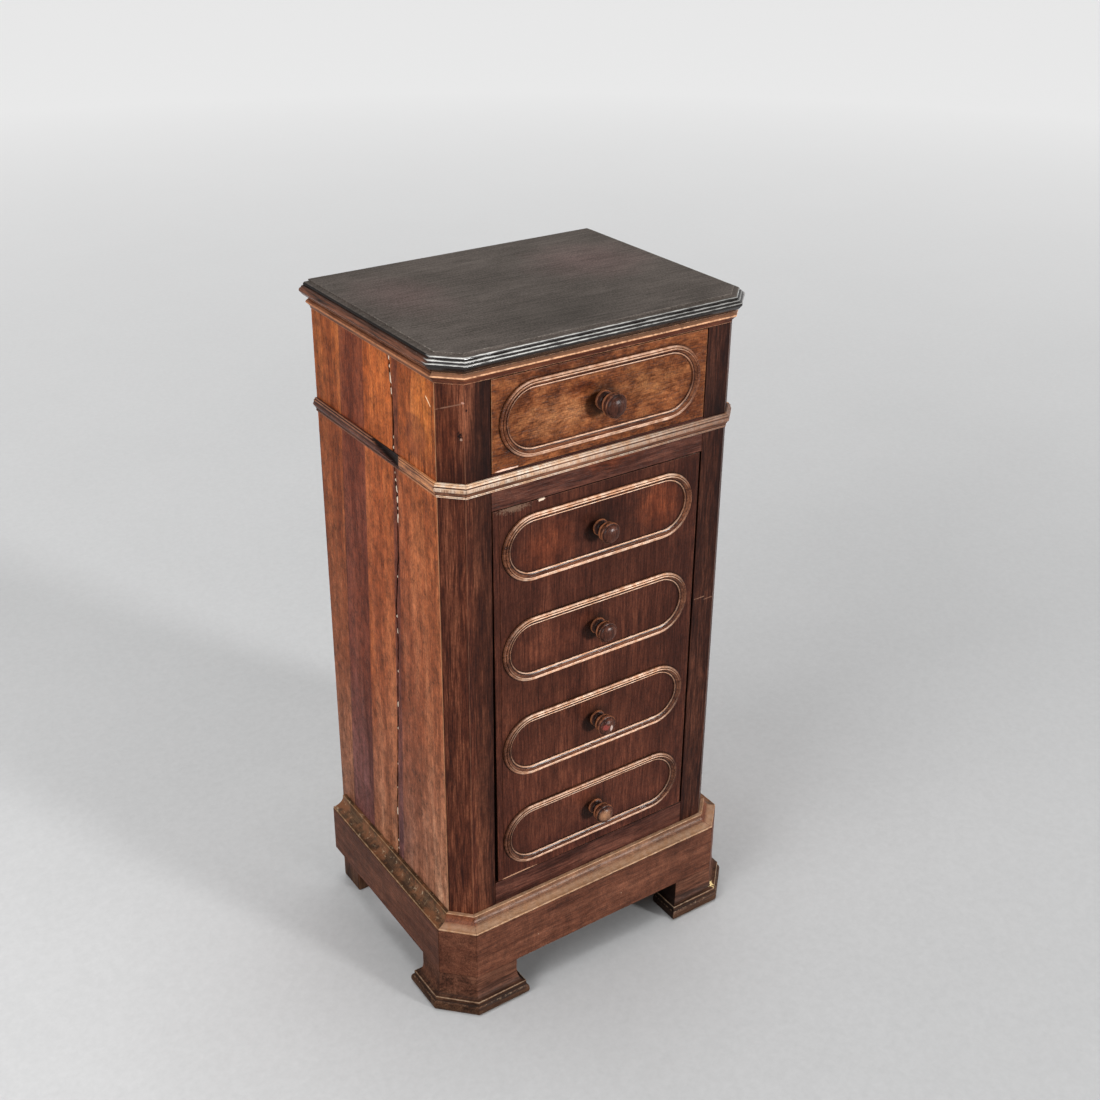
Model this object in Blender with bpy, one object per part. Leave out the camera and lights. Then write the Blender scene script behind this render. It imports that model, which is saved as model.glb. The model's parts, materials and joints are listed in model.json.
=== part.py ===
# Tall bedside cabinet of walnut with canted front corners: one drawer over one door
# whose face carries four false drawer fronts.
#
# Metres, +Z up, +X to the viewer's right, front towards -Y. The origin lies on the
# floor, in the middle of the whole cabinet. "Depth" below is counted backwards from
# the front plane of the posts, so a piece in front of that plane has a negative depth.
import math
from itertools import cycle

import bmesh
import bpy
from mathutils import Vector

# Clearances
SEAT = 0.0003               # between pieces that are glued, nailed or resting
DRAWER_SIDE_GAP = 0.0011    # drawer to post, each side
DRAWER_TOP_GAP = 0.0012     # drawer front to the top rail
DOOR_HINGE_GAP = 0.0028     # door to post, at the hinges
DOOR_LATCH_GAP_TOP = 0.0013 # at the other side the door's edge is out of square
DOOR_LATCH_GAP_BOTTOM = 0.0045
DOOR_TOP_GAP = 0.0012
DOOR_BOTTOM_GAP = 0.0008
PIN_GAP = 0.0004            # pivot pin to the hole it turns in

# Body
TOTAL_HEIGHT = 0.800
BODY_WIDTH = 0.370
BODY_DEPTH = 0.284
CANT = 0.0205               # how far the front corners are cut back, both ways

# Heights, from the floor up; the door's opening takes what the others leave
FOOT_HEIGHT = 0.048
PLINTH_HEIGHT = 0.062
COVE_HEIGHT = 0.0145
BOTTOM_RAIL_FACE = 0.030
WAIST_RAIL_HEIGHT = 0.0405
DRAWER_OPENING = 0.101
TOP_RAIL_HEIGHT = 0.012
TOP_THICKNESS = 0.0195

# Carcass timbers
POST_WIDTH = 0.050
POST_DEPTH = 0.045
SIDE_THICKNESS = 0.016
BACK_THICKNESS = 0.008
BACK_REBATE = 0.008         # how far the back boards lap into each side
RAIL_THICKNESS = 0.020
BOTTOM_RAIL_LAP = 0.024     # hidden part of the bottom rail, behind the plinth
SHELF_THICKNESS = 0.014     # bottom board and dust board
HOUSING_DEPTH = 0.005       # grooves in the sides that hold those boards
TOP_BACK_RAIL_HEIGHT = 0.020
GUIDE_HEIGHT = 0.022
DOOR_STOP_SIZE = 0.008

# Top board
TOP_BACK_OVERHANG = 0.004
TOP_FACE_REACH = -0.0008    # flat upper face, past the body
TOP_UNDER_REACH = 0.0033    # underside, past the body
TOP_FILLET = 0.0022         # small upright edge of the flat face
TOP_BULGE = 0.0006          # how far the slope under the beads swells

# Stacked beads, from the top down: radius, reach past the body, depth of the centre
# below the upper face, and the degrees at which the bead starts and ends
TOP_BEADS = ((0.0024, 0.0058, 0.0046, 100, -30),
             (0.0018, 0.0085, 0.0073, 122, -8),
             (0.0026, 0.0113, 0.0101, 92, -50))

# Moulding under the top
UNDER_HEIGHT = 0.0117
UNDER_REACH = 0.0061        # its fillet
UNDER_NECK_REACH = 0.0026   # the quirk above the fillet
UNDER_FOOT_REACH = 0.0009
UNDER_FILLET = 0.0013
UNDER_OVOLO = 0.0030        # from the fillet up to the top

# Waist moulding, planted on the waist rail
WAIST_HEIGHT = 0.0158
WAIST_DROP = 0.0025         # from the drawer opening down to the moulding
WAIST_FILLET = 0.0020
WAIST_FILLET_REACH = 0.0019
WAIST_BEADS = ((0.0009, 0.0029, 0.0009, 90, -25),
               (0.0011, 0.0043, 0.0028, 75, -30),
               (0.0027, 0.0053, 0.0068, 52, -58))

# Plinth
PLINTH_REACH = 0.019
PLINTH_BACK_INSET = 0.008
COVE_TOP_REACH = 0.0046
COVE_FILLET = 0.0024
COVE_ARRIS = 0.0020
PLINTH_BACK_THICKNESS = 0.018

# Front feet: moulded corner brackets
FOOT_FRONT_LENGTH = 0.0855  # along the front, at the top, from the plinth's outer side
FOOT_SIDE_LENGTH = 0.0700   # along the side, at the top, from the plinth's outer front
FOOT_THICKNESS = 0.030
FOOT_STRAIGHT = 0.014       # plain upper part of the bracket
FOOT_FLARE_REACH = 0.0245
FOOT_STEP_REACH = 0.0270
FOOT_STEP_HEIGHT = 0.0185
FOOT_BEAD_REACH = 0.0302
FOOT_BEAD_HEIGHT = 0.0130

# Back feet: plain blocks
BACK_FOOT_WIDTH = 0.044
BACK_FOOT_DEPTH = 0.041
BACK_FOOT_INSET = 0.010     # in from the plinth's outer face

# Drawer
FRONT_THICKNESS = 0.018
DRAWER_DEPTH = 0.236
DRAWER_SIDE_THICKNESS = 0.010
DRAWER_SIDE_HEIGHT = 0.086
DRAWER_BACK_HEIGHT = 0.064
DRAWER_BOTTOM_THICKNESS = 0.005
DRAWER_BOTTOM_RISE = 0.009
DRAWER_GROOVE = 0.004
DRAWER_REBATE = 0.010       # how far the sides lap into the front

# Door
DOOR_THICKNESS = 0.018
EDGE_STRIP = 0.0072
FALSE_FRONTS = 4

# Pivot hinges of the door
PIVOT_IN = 0.0065           # axis, in from the door's edge
PIVOT_BACK = 0.0040         # axis, behind the door's face
PIVOT_PIN_RADIUS = 0.0020
PIVOT_PIN_LENGTH = 0.0040   # inside the door
PIVOT_PLATE_LENGTH = 0.034
PIVOT_PLATE_WIDTH = 0.0064
PIVOT_PLATE_THICKNESS = 0.0018
PIVOT_COLLAR_RADIUS = 0.0030

# Oval mouldings
BEAD_WIDTH = 0.0095
BEAD_HEIGHT = 0.0042
OVAL_SIDE_MARGIN_DRAWER = 0.0088
OVAL_END_MARGIN_DRAWER = 0.0085
OVAL_SIDE_MARGIN_DOOR = 0.0120  # from the opening's side
OVAL_END_MARGIN_DOOR = 0.0130
FALSE_FRONT_GAP = 0.0448    # between one oval and the next

# Knobs
DRAWER_KNOB_RADIUS = 0.0138
DRAWER_KNOB_LENGTH = 0.0285
DOOR_KNOB_RADIUS = 0.0124
DOOR_KNOB_LENGTH = 0.0248
KNOB_TENON_RADIUS = 0.0040
KNOB_TENON_LENGTH = 0.012

# The door's knobs were set by hand: across and up from the middle of each false front
DOOR_KNOB_SHIFTS = ((0, -0.0015), (0, 0), (0.0025, 0), (0.0035, -0.0015))

# How finely curves are cut into flats
KNOB_SIDES = 24
OVAL_END_STEPS = 12
ARC_STEPS = 5

# Heights worked out from the stack
DOOR_OPENING = TOTAL_HEIGHT - (FOOT_HEIGHT + PLINTH_HEIGHT + COVE_HEIGHT + BOTTOM_RAIL_FACE
                               + WAIST_RAIL_HEIGHT + DRAWER_OPENING + TOP_RAIL_HEIGHT
                               + TOP_THICKNESS)
PLINTH_TOP = FOOT_HEIGHT + PLINTH_HEIGHT
COVE_TOP = PLINTH_TOP + COVE_HEIGHT
DOOR_FLOOR = COVE_TOP + BOTTOM_RAIL_FACE
DOOR_HEAD = DOOR_FLOOR + DOOR_OPENING
DRAWER_FLOOR = DOOR_HEAD + WAIST_RAIL_HEIGHT
DRAWER_HEAD = DRAWER_FLOOR + DRAWER_OPENING
CARCASS_TOP = DRAWER_HEAD + TOP_RAIL_HEIGHT
CARCASS_FOOT = FOOT_HEIGHT + SEAT
WAIST_TOP = DRAWER_FLOOR - WAIST_DROP

# Widths and depths worked out from the body
HALF_WIDTH = BODY_WIDTH / 2
HALF_OPENING = HALF_WIDTH - POST_WIDTH
INNER_HALF = HALF_WIDTH - SIDE_THICKNESS
BACK_FACE = BODY_DEPTH - BACK_THICKNESS - SEAT
MITRE = math.tan(math.radians(22.5))
REACH_IN_FRONT = max(FOOT_BEAD_REACH, DRAWER_KNOB_LENGTH, DOOR_KNOB_LENGTH, BEAD_HEIGHT)
REACH_BEHIND = BODY_DEPTH + TOP_BACK_OVERHANG
FRONT_Y = (REACH_IN_FRONT - REACH_BEHIND) / 2

# Drawer and door, from the openings they fill
DRAWER_HALF = HALF_OPENING - DRAWER_SIDE_GAP
DRAWER_BASE = DRAWER_FLOOR + SEAT
DRAWER_CROWN = DRAWER_HEAD - DRAWER_TOP_GAP
DOOR_RIGHT = HALF_OPENING - DOOR_HINGE_GAP
DOOR_BASE = DOOR_FLOOR + DOOR_BOTTOM_GAP
DOOR_CROWN = DOOR_HEAD - DOOR_TOP_GAP
PIVOT_X = DOOR_RIGHT - PIVOT_IN

# Finishes: colour, roughness, metallic
FINISHES = {
    "ebonised": ((0.035, 0.029, 0.027), 0.34, 0.0),
    "walnut_dark": ((0.060, 0.024, 0.016), 0.42, 0.0),
    "walnut_side": ((0.190, 0.068, 0.032), 0.45, 0.0),
    "walnut_front": ((0.130, 0.045, 0.024), 0.38, 0.0),
    "walnut_figured": ((0.175, 0.070, 0.030), 0.36, 0.0),
    "walnut_plinth": ((0.135, 0.050, 0.030), 0.50, 0.0),
    "worn_moulding": ((0.300, 0.190, 0.110), 0.55, 0.0),
    "inner_oak": ((0.330, 0.190, 0.095), 0.65, 0.0),
    "iron": ((0.200, 0.185, 0.170), 0.45, 1.0),
}


def clear_scene():
    for old in list(bpy.data.objects):
        bpy.data.objects.remove(old, do_unlink=True)


def at(x, depth, z):
    return Vector((x, FRONT_Y + depth, z))


def new_material(name, finish):
    colour, roughness, metallic = FINISHES[finish]
    material = bpy.data.materials.new(name)
    material.use_nodes = True
    shader = material.node_tree.nodes["Principled BSDF"]
    shader.inputs["Base Color"].default_value = (*colour, 1.0)
    shader.inputs["Roughness"].default_value = roughness
    shader.inputs["Metallic"].default_value = metallic
    material.diffuse_color = (*colour, 1.0)
    return material


def new_carrier(name, place, parent=None):
    carrier = bpy.data.objects.new(name, None)
    bpy.context.collection.objects.link(carrier)
    carrier.empty_display_size = 0.03
    carrier.parent = parent
    carrier.location = place - (world_place(parent) if parent else Vector())
    return carrier


def world_place(item):
    place = Vector(item.location)
    while item.parent:
        item = item.parent
        place += Vector(item.location)
    return place


def new_part(name, points, faces, finish, carrier, origin=None, smooth=False):
    """Make a closed mesh object from world points, placed by its own origin."""
    origin = origin if origin is not None else sum(points, Vector()) / len(points)
    shape = bmesh.new()
    corners = [shape.verts.new(point - origin) for point in points]
    for face in faces:
        shape.faces.new([corners[i] for i in face])
    bmesh.ops.recalc_face_normals(shape, faces=shape.faces)
    mesh = bpy.data.meshes.new(name)
    shape.to_mesh(mesh)
    shape.free()
    part = bpy.data.objects.new(name, mesh)
    bpy.context.collection.objects.link(part)
    part.parent = carrier
    part.location = origin - world_place(carrier)
    mesh.materials.append(new_material(name, finish))
    if smooth:
        mesh.shade_smooth()
        mesh.set_sharp_from_angle(angle=math.radians(35))
    return part


def loft(sections):
    """Points and faces of a solid through sections with equal numbers of points."""
    count = len(sections[0])
    points = [point for section in sections for point in section]
    faces = []
    for level in range(len(sections) - 1):
        for i in range(count):
            j = (i + 1) % count
            low, high = level * count, (level + 1) * count
            faces.append((low + i, low + j, high + j, high + i))
    faces.append(tuple(range(count)))
    faces.append(tuple((len(sections) - 1) * count + i for i in range(count)))
    return points, faces


def box(x0, x1, depth0, depth1, z0, z1):
    plan = [(x0, depth0), (x1, depth0), (x1, depth1), (x0, depth1)]
    return upright(plan, z0, z1)


def upright(plan, z0, z1):
    """Extrude a plan of (x, depth) points from one height to another."""
    return loft([[at(x, depth, z) for x, depth in plan] for z in (z0, z1)])


def mirrored(plan, side):
    """Turn a plan drawn for the left side (-1) into the one for the given side."""
    return [(-side * x, depth) for x, depth in plan]


def arc(centre, radius, start, end, steps=ARC_STEPS, stretch=1.0):
    """Points along an arc, in degrees; stretch scales it along the second axis."""
    points = []
    for i in range(steps + 1):
        angle = math.radians(start + (end - start) * i / steps)
        points.append((centre[0] + radius * math.cos(angle),
                       centre[1] + stretch * radius * math.sin(angle)))
    return points


def stacked_beads(rows, top):
    """Outline (reach, z) of beads that step out as they go down; see TOP_BEADS."""
    outline = []
    for radius, reach, drop, start, end in rows:
        outline += arc((reach - radius, top - drop), radius, start, end, steps=4)
    return outline


def bake(part):
    """Replace a part's mesh by its evaluated one and drop its modifiers."""
    graph = bpy.context.evaluated_depsgraph_get()
    result = bpy.data.meshes.new_from_object(part.evaluated_get(graph), depsgraph=graph)
    part.modifiers.clear()
    old = part.data
    part.data = result
    result.name = part.name
    bpy.data.meshes.remove(old)


def combine(part, tools, operation="DIFFERENCE"):
    """Cut the tools out of a part, or join them to it, and remove them."""
    for points, faces in tools:
        tool = new_part("tool", points, faces, "iron", part.parent)
        step = part.modifiers.new("shape", "BOOLEAN")
        step.operation = operation
        step.solver = "EXACT"
        step.object = tool
        bpy.context.view_layer.update()
        bake(part)
        spare = tool.data
        bpy.data.objects.remove(tool, do_unlink=True)
        bpy.data.materials.remove(spare.materials[0])
        bpy.data.meshes.remove(spare)


def round_edges(part, width, segments=1):
    ease = part.modifiers.new("eased edges", "BEVEL")
    ease.width = width
    ease.segments = segments
    ease.limit_method = "ANGLE"
    ease.angle_limit = math.radians(60)
    ease.use_clamp_overlap = True


# The five runs of a moulding go round the front: side, cant, front, cant, side.
# A corner gives the plan point at a reach past the body, on the mitre line.
def corner_point(which, reach):
    side, at_front = which
    if at_front:
        return side * (HALF_WIDTH - CANT + MITRE * reach), -reach
    return side * (HALF_WIDTH + reach), CANT - MITRE * reach


def mitre_section(which, shift, profile):
    """A moulding's end at a corner, moved off the mitre line along the run."""
    side, at_front = which
    turn = math.radians(67.5)
    along = {True: (-side * math.sin(turn), -math.cos(turn)),
             False: (-side * math.cos(turn), -math.sin(turn))}[at_front]
    section = []
    for reach, z in profile:
        x, depth = corner_point(which, reach)
        section.append(at(x + shift * along[0], depth + shift * along[1], z))
    return section


def square_section(side, depth, profile):
    return [at(side * (HALF_WIDTH + reach), depth, z) for reach, z in profile]


def moulding_runs(name, profile, finish, carrier, back, joined_front=False):
    """Mitred lengths of one profile of (reach, z) points round the cabinet."""
    half = SEAT / 2
    for side, word in ((-1, "left"), (1, "right")):
        run = loft([square_section(side, back, profile),
                    mitre_section((side, False), -half, profile)])
        new_part(f"{name}_{word}", *run, finish, carrier)
        if not joined_front:
            run = loft([mitre_section((side, False), half, profile),
                        mitre_section((side, True), -half, profile)])
            new_part(f"{name}_cant_{word}", *run, finish, carrier)
    if joined_front:
        sections = [mitre_section((-1, False), half, profile), mitre_section((-1, True), 0, profile),
                    mitre_section((1, True), 0, profile), mitre_section((1, False), half, profile)]
    else:
        sections = [mitre_section((-1, True), half, profile), mitre_section((1, True), half, profile)]
    new_part(f"{name}_front", *loft(sections), finish, carrier)


# Carcass
def make_posts(carrier):
    inner = HALF_WIDTH - SIDE_THICKNESS
    plan = [(-HALF_WIDTH + CANT, 0), (-HALF_WIDTH, CANT), (-inner + SEAT, CANT),
            (-inner + SEAT, POST_DEPTH), (-HALF_OPENING, POST_DEPTH), (-HALF_OPENING, 0)]
    for side, word in ((-1, "left"), (1, "right")):
        shape = upright(mirrored(plan, side), CARCASS_FOOT, CARCASS_TOP)
        new_part(f"corner_post_{word}", *shape, "walnut_dark", carrier)


def make_sides(carrier):
    rebate = INNER_HALF + BACK_REBATE
    plan = [(-HALF_WIDTH, CANT + SEAT), (-HALF_WIDTH, BODY_DEPTH), (-rebate, BODY_DEPTH),
            (-rebate, BACK_FACE), (-INNER_HALF, BACK_FACE), (-INNER_HALF, CANT + SEAT)]
    for side, word in ((-1, "left"), (1, "right")):
        panel = new_part(f"side_panel_{word}", *upright(mirrored(plan, side), CARCASS_FOOT, CARCASS_TOP),
                         "walnut_side", carrier)
        housings = []
        for top in (DOOR_FLOOR, DRAWER_FLOOR):
            x0, x1 = sorted((side * (INNER_HALF - HOUSING_DEPTH), side * (INNER_HALF + HOUSING_DEPTH)))
            housings.append(box(x0, x1, POST_DEPTH, BODY_DEPTH + SEAT,
                                top - SHELF_THICKNESS - SEAT, top + SEAT))
        combine(panel, housings)


def make_back(carrier):
    edge = INNER_HALF + BACK_REBATE - SEAT
    for side, word in ((-1, "left"), (1, "right")):
        x0, x1 = sorted((side * SEAT / 2, side * edge))
        new_part(f"back_board_{word}", *box(x0, x1, BODY_DEPTH - BACK_THICKNESS, BODY_DEPTH,
                                            CARCASS_FOOT, CARCASS_TOP), "inner_oak", carrier)


def make_level_board(name, top, carrier):
    """A board housed in both sides and notched round the posts."""
    neck = HALF_OPENING - SEAT
    wing = INNER_HALF + HOUSING_DEPTH - SEAT
    front = RAIL_THICKNESS + SEAT
    shoulder = POST_DEPTH + SEAT
    back = BACK_FACE - SEAT
    plan = [(-neck, front), (neck, front), (neck, shoulder), (wing, shoulder),
            (wing, back), (-wing, back), (-wing, shoulder), (-neck, shoulder)]
    new_part(name, *upright(plan, top - SHELF_THICKNESS, top), "inner_oak", carrier)


def make_rails(carrier):
    end = HALF_OPENING - SEAT
    new_part("top_rail", *box(-end, end, 0, RAIL_THICKNESS, DRAWER_HEAD, CARCASS_TOP),
             "walnut_dark", carrier)
    waist = new_part("waist_rail", *box(-end, end, 0, RAIL_THICKNESS, DOOR_HEAD, DRAWER_FLOOR),
                     "walnut_front", carrier)
    bottom = new_part("bottom_rail",
                      *box(-end, end, 0, RAIL_THICKNESS, COVE_TOP - BOTTOM_RAIL_LAP, DOOR_FLOOR),
                      "walnut_front", carrier)
    combine(waist, [plate_recess(DOOR_HEAD, 1)])
    combine(bottom, [plate_recess(DOOR_FLOOR, -1)])
    rail_end = INNER_HALF - SEAT
    back = BACK_FACE - SEAT
    new_part("top_back_rail", *box(-rail_end, rail_end, back - RAIL_THICKNESS, back,
                                   CARCASS_TOP - TOP_BACK_RAIL_HEIGHT, CARCASS_TOP),
             "inner_oak", carrier)


def make_drawer_guides(carrier):
    for side, word in ((-1, "left"), (1, "right")):
        x0, x1 = sorted((side * HALF_OPENING, side * (INNER_HALF - SEAT)))
        new_part(f"drawer_guide_{word}", *box(x0, x1, POST_DEPTH + SEAT, BACK_FACE - SEAT,
                                              DRAWER_FLOOR + SEAT, DRAWER_FLOOR + SEAT + GUIDE_HEIGHT),
                 "inner_oak", carrier)


def make_door_stop(carrier):
    x = -HALF_OPENING + SEAT
    depth = DOOR_THICKNESS + SEAT
    new_part("door_stop", *box(x, x + DOOR_STOP_SIZE, depth, depth + DOOR_STOP_SIZE,
                               DOOR_FLOOR + SEAT, DOOR_HEAD - SEAT), "inner_oak", carrier)


# Top
def top_edge_profile():
    """Outline of the top board's edge as (reach, z), from the upper face down."""
    profile = [(TOP_FACE_REACH, TOTAL_HEIGHT), (TOP_FACE_REACH, TOTAL_HEIGHT - TOP_FILLET)]
    profile += stacked_beads(TOP_BEADS, TOTAL_HEIGHT)
    reach, z = profile[-1]
    under_z = CARCASS_TOP + SEAT
    profile.append(((reach + TOP_UNDER_REACH) / 2 + TOP_BULGE, (z + under_z) / 2))
    profile.append((TOP_UNDER_REACH, under_z))
    return profile


def make_top(carrier):
    back = BODY_DEPTH + TOP_BACK_OVERHANG
    rings = []
    for reach, z in top_edge_profile():
        ring = [(-HALF_WIDTH - reach, back)]
        ring += [corner_point(which, reach)
                 for which in ((-1, False), (-1, True), (1, True), (1, False))]
        ring += [(HALF_WIDTH + reach, back)]
        rings.append([at(x, depth, z) for x, depth in ring])
    new_part("top_board", *loft(rings), "ebonised", carrier)


def make_under_moulding(carrier):
    top = CARCASS_TOP
    foot = top - UNDER_HEIGHT
    fillet_top = top - UNDER_OVOLO
    fillet = fillet_top - UNDER_FILLET
    profile = [(SEAT, foot), (UNDER_FOOT_REACH, foot)]
    for share in (0.0, 0.4, 0.7, 0.9):
        profile.append((UNDER_FOOT_REACH + (UNDER_REACH - UNDER_FOOT_REACH) * share ** 1.6,
                        foot + UNDER_FOOT_REACH + (fillet - foot - UNDER_FOOT_REACH) * share))
    profile += [(UNDER_REACH, fillet), (UNDER_REACH, fillet_top)]
    middle = (UNDER_REACH + UNDER_NECK_REACH) / 2
    profile += [(middle, fillet_top + 0.5 * UNDER_OVOLO),
                (UNDER_NECK_REACH, fillet_top + 0.75 * UNDER_OVOLO),
                (UNDER_NECK_REACH, top), (SEAT, top)]
    moulding_runs("under_moulding", profile, "walnut_front", carrier, BODY_DEPTH, joined_front=True)


def make_waist_moulding(carrier):
    foot = WAIST_TOP - WAIST_HEIGHT
    profile = [(SEAT, WAIST_TOP)] + stacked_beads(WAIST_BEADS, WAIST_TOP)
    reach, z = profile[-1]
    fillet = foot + WAIST_FILLET
    profile += [((reach + WAIST_FILLET_REACH) / 2 - 0.2 * WAIST_FILLET, (z + fillet) / 2),
                (0.7 * WAIST_FILLET_REACH, fillet), (WAIST_FILLET_REACH, fillet),
                (WAIST_FILLET_REACH, foot), (SEAT, foot)]
    moulding_runs("waist_moulding", profile, "walnut_front", carrier, BODY_DEPTH)


# Plinth
def plinth_profile():
    return [(SEAT, CARCASS_FOOT), (PLINTH_REACH, CARCASS_FOOT), (PLINTH_REACH, PLINTH_TOP),
            (SEAT, PLINTH_TOP)]


def cove_profile():
    foot = PLINTH_TOP + SEAT
    reach = PLINTH_REACH - 0.0004
    fillet = COVE_TOP - COVE_FILLET
    width = reach - 0.0012 - COVE_TOP_REACH
    height = fillet - (foot + COVE_ARRIS)
    hollow = arc((reach - 0.0012, fillet), width, 270, 180, stretch=height / width)
    return ([(SEAT, foot), (reach, foot), (reach, foot + COVE_ARRIS)] + hollow
            + [(COVE_TOP_REACH, COVE_TOP), (SEAT, COVE_TOP)])


def make_plinth(carrier):
    back = BODY_DEPTH - PLINTH_BACK_INSET
    moulding_runs("plinth_board", plinth_profile(), "walnut_plinth", carrier, back)
    moulding_runs("plinth_cove", cove_profile(), "worn_moulding", carrier, back)
    end = INNER_HALF - SEAT
    behind = BACK_FACE - SEAT
    new_part("plinth_back_board", *box(-end, end, behind - PLINTH_BACK_THICKNESS, behind,
                                       CARCASS_FOOT, DOOR_FLOOR - SHELF_THICKNESS - SEAT),
             "inner_oak", carrier)


def foot_profile():
    """Outline of a front foot as (reach, z), from the top down."""
    straight = FOOT_HEIGHT - FOOT_STRAIGHT
    flare_z = FOOT_STEP_HEIGHT
    width = FOOT_FLARE_REACH - PLINTH_REACH
    hollow = arc((FOOT_FLARE_REACH, straight), width, 180, 250, stretch=(straight - flare_z) / width)
    profile = [(PLINTH_REACH, FOOT_HEIGHT)] + hollow
    profile += [(FOOT_FLARE_REACH, flare_z), (FOOT_STEP_REACH, flare_z - 0.0004),
                (FOOT_STEP_REACH, FOOT_BEAD_HEIGHT + 0.0004)]
    radius = FOOT_BEAD_HEIGHT / 2
    bulge = FOOT_BEAD_REACH - FOOT_STEP_REACH
    profile += arc((FOOT_STEP_REACH, radius), bulge, 80, -80, stretch=radius / bulge)
    profile += [(FOOT_STEP_REACH, 0.0)]
    return profile


def make_front_feet(carrier):
    inner = FOOT_THICKNESS - PLINTH_REACH
    for side, word in ((-1, "left"), (1, "right")):
        rings = []
        for reach, z in foot_profile():
            flare = reach - PLINTH_REACH
            end_x = -HALF_WIDTH - PLINTH_REACH + FOOT_FRONT_LENGTH + flare
            end_depth = -PLINTH_REACH + FOOT_SIDE_LENGTH + flare
            plan = [(-HALF_WIDTH - reach, end_depth), corner_point((-1, False), reach),
                    corner_point((-1, True), reach), (end_x, -reach), (end_x, inner),
                    (-HALF_WIDTH + inner, inner), (-HALF_WIDTH + inner, end_depth)]
            rings.append([at(x, depth, z) for x, depth in mirrored(plan, side)])
        new_part(f"front_foot_{word}", *loft(rings), "walnut_plinth", carrier)


def make_back_feet(carrier):
    outer = HALF_WIDTH + PLINTH_REACH - BACK_FOOT_INSET
    back = BODY_DEPTH - PLINTH_BACK_INSET
    for side, word in ((-1, "left"), (1, "right")):
        x0, x1 = sorted((side * outer, side * (outer - BACK_FOOT_WIDTH)))
        foot = new_part(f"back_foot_{word}", *box(x0, x1, back - BACK_FOOT_DEPTH, back, 0, FOOT_HEIGHT),
                        "walnut_plinth", carrier)
        round_edges(foot, 0.0015)


# Knobs and oval mouldings, shared by the drawer and the door
def knob_profile(radius, length):
    """Turned outline as (distance from the face, radius), from the tenon's end out."""
    base = 0.76 * radius
    neck = 0.46 * radius
    bulb = 0.56 * radius
    ring = 0.88 * radius
    profile = [(-KNOB_TENON_LENGTH, KNOB_TENON_RADIUS), (SEAT, KNOB_TENON_RADIUS), (SEAT, base),
               (0.09 * length, base), (0.14 * length, 0.72 * base), (0.22 * length, neck),
               (0.31 * length, bulb), (0.39 * length, neck), (0.44 * length, ring * 0.94),
               (0.49 * length, ring), (0.54 * length, ring * 0.94), (0.58 * length, 0.62 * radius),
               (0.63 * length, 0.93 * radius), (0.71 * length, radius), (0.79 * length, 0.95 * radius),
               (0.81 * length, 0.84 * radius)]
    for angle in (math.radians(30), math.radians(60)):
        profile.append((length * (0.81 + 0.19 * math.sin(angle)), 0.84 * radius * math.cos(angle)))
    profile += [(length, 0.0)]
    return profile


def make_knob(name, x, z, radius, length, face_depth, finish, carrier):
    points = []
    faces = []
    outline = knob_profile(radius, length)
    for reach, r in outline[:-1]:
        for i in range(KNOB_SIDES):
            angle = 2 * math.pi * i / KNOB_SIDES
            points.append(at(x + r * math.cos(angle), face_depth - reach, z + r * math.sin(angle)))
    tip = len(points)
    points.append(at(x, face_depth - outline[-1][0], z))
    last = len(outline) - 2
    for level in range(last):
        for i in range(KNOB_SIDES):
            j = (i + 1) % KNOB_SIDES
            low, high = level * KNOB_SIDES, (level + 1) * KNOB_SIDES
            faces.append((low + i, low + j, high + j, high + i))
    faces += [(last * KNOB_SIDES + i, last * KNOB_SIDES + (i + 1) % KNOB_SIDES, tip)
              for i in range(KNOB_SIDES)]
    faces.append(tuple(range(KNOB_SIDES)))
    new_part(name, points, faces, finish, carrier, origin=at(x, face_depth, z), smooth=True)


def knob_hole(x, z, face_depth):
    """A round hole for a knob's tenon, as a tool to cut with."""
    radius = KNOB_TENON_RADIUS + SEAT
    sections = []
    for depth in (face_depth - 0.01, face_depth + KNOB_TENON_LENGTH + SEAT):
        sections.append([at(x + radius * math.cos(math.radians(a)), depth,
                            z + radius * math.sin(math.radians(a))) for a in range(0, 360, 30)])
    return loft(sections)


def bead_profile():
    """Section of the oval mouldings as (out from the middle line, height).

    From the outside in: a bead, a narrow ridge, a slope and a small reed.
    """
    width, height = BEAD_WIDTH, BEAD_HEIGHT
    profile = [(0.50 * width, SEAT), (0.50 * width, 0.30 * height)]
    profile += arc((0.34 * width, 0.43 * height), 0.155 * width, 15, 160, steps=3)
    profile += arc((0.11 * width, 0.83 * height), 0.072 * width, 0, 180, steps=3)
    profile += [(-0.07 * width, 0.60 * height), (-0.19 * width, 0.37 * height),
                (-0.30 * width, 0.26 * height)]
    profile += arc((-0.40 * width, 0.24 * height), 0.08 * width, 30, 160, steps=2)
    profile += [(-0.50 * width, 0.19 * height), (-0.50 * width, SEAT)]
    return profile


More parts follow.
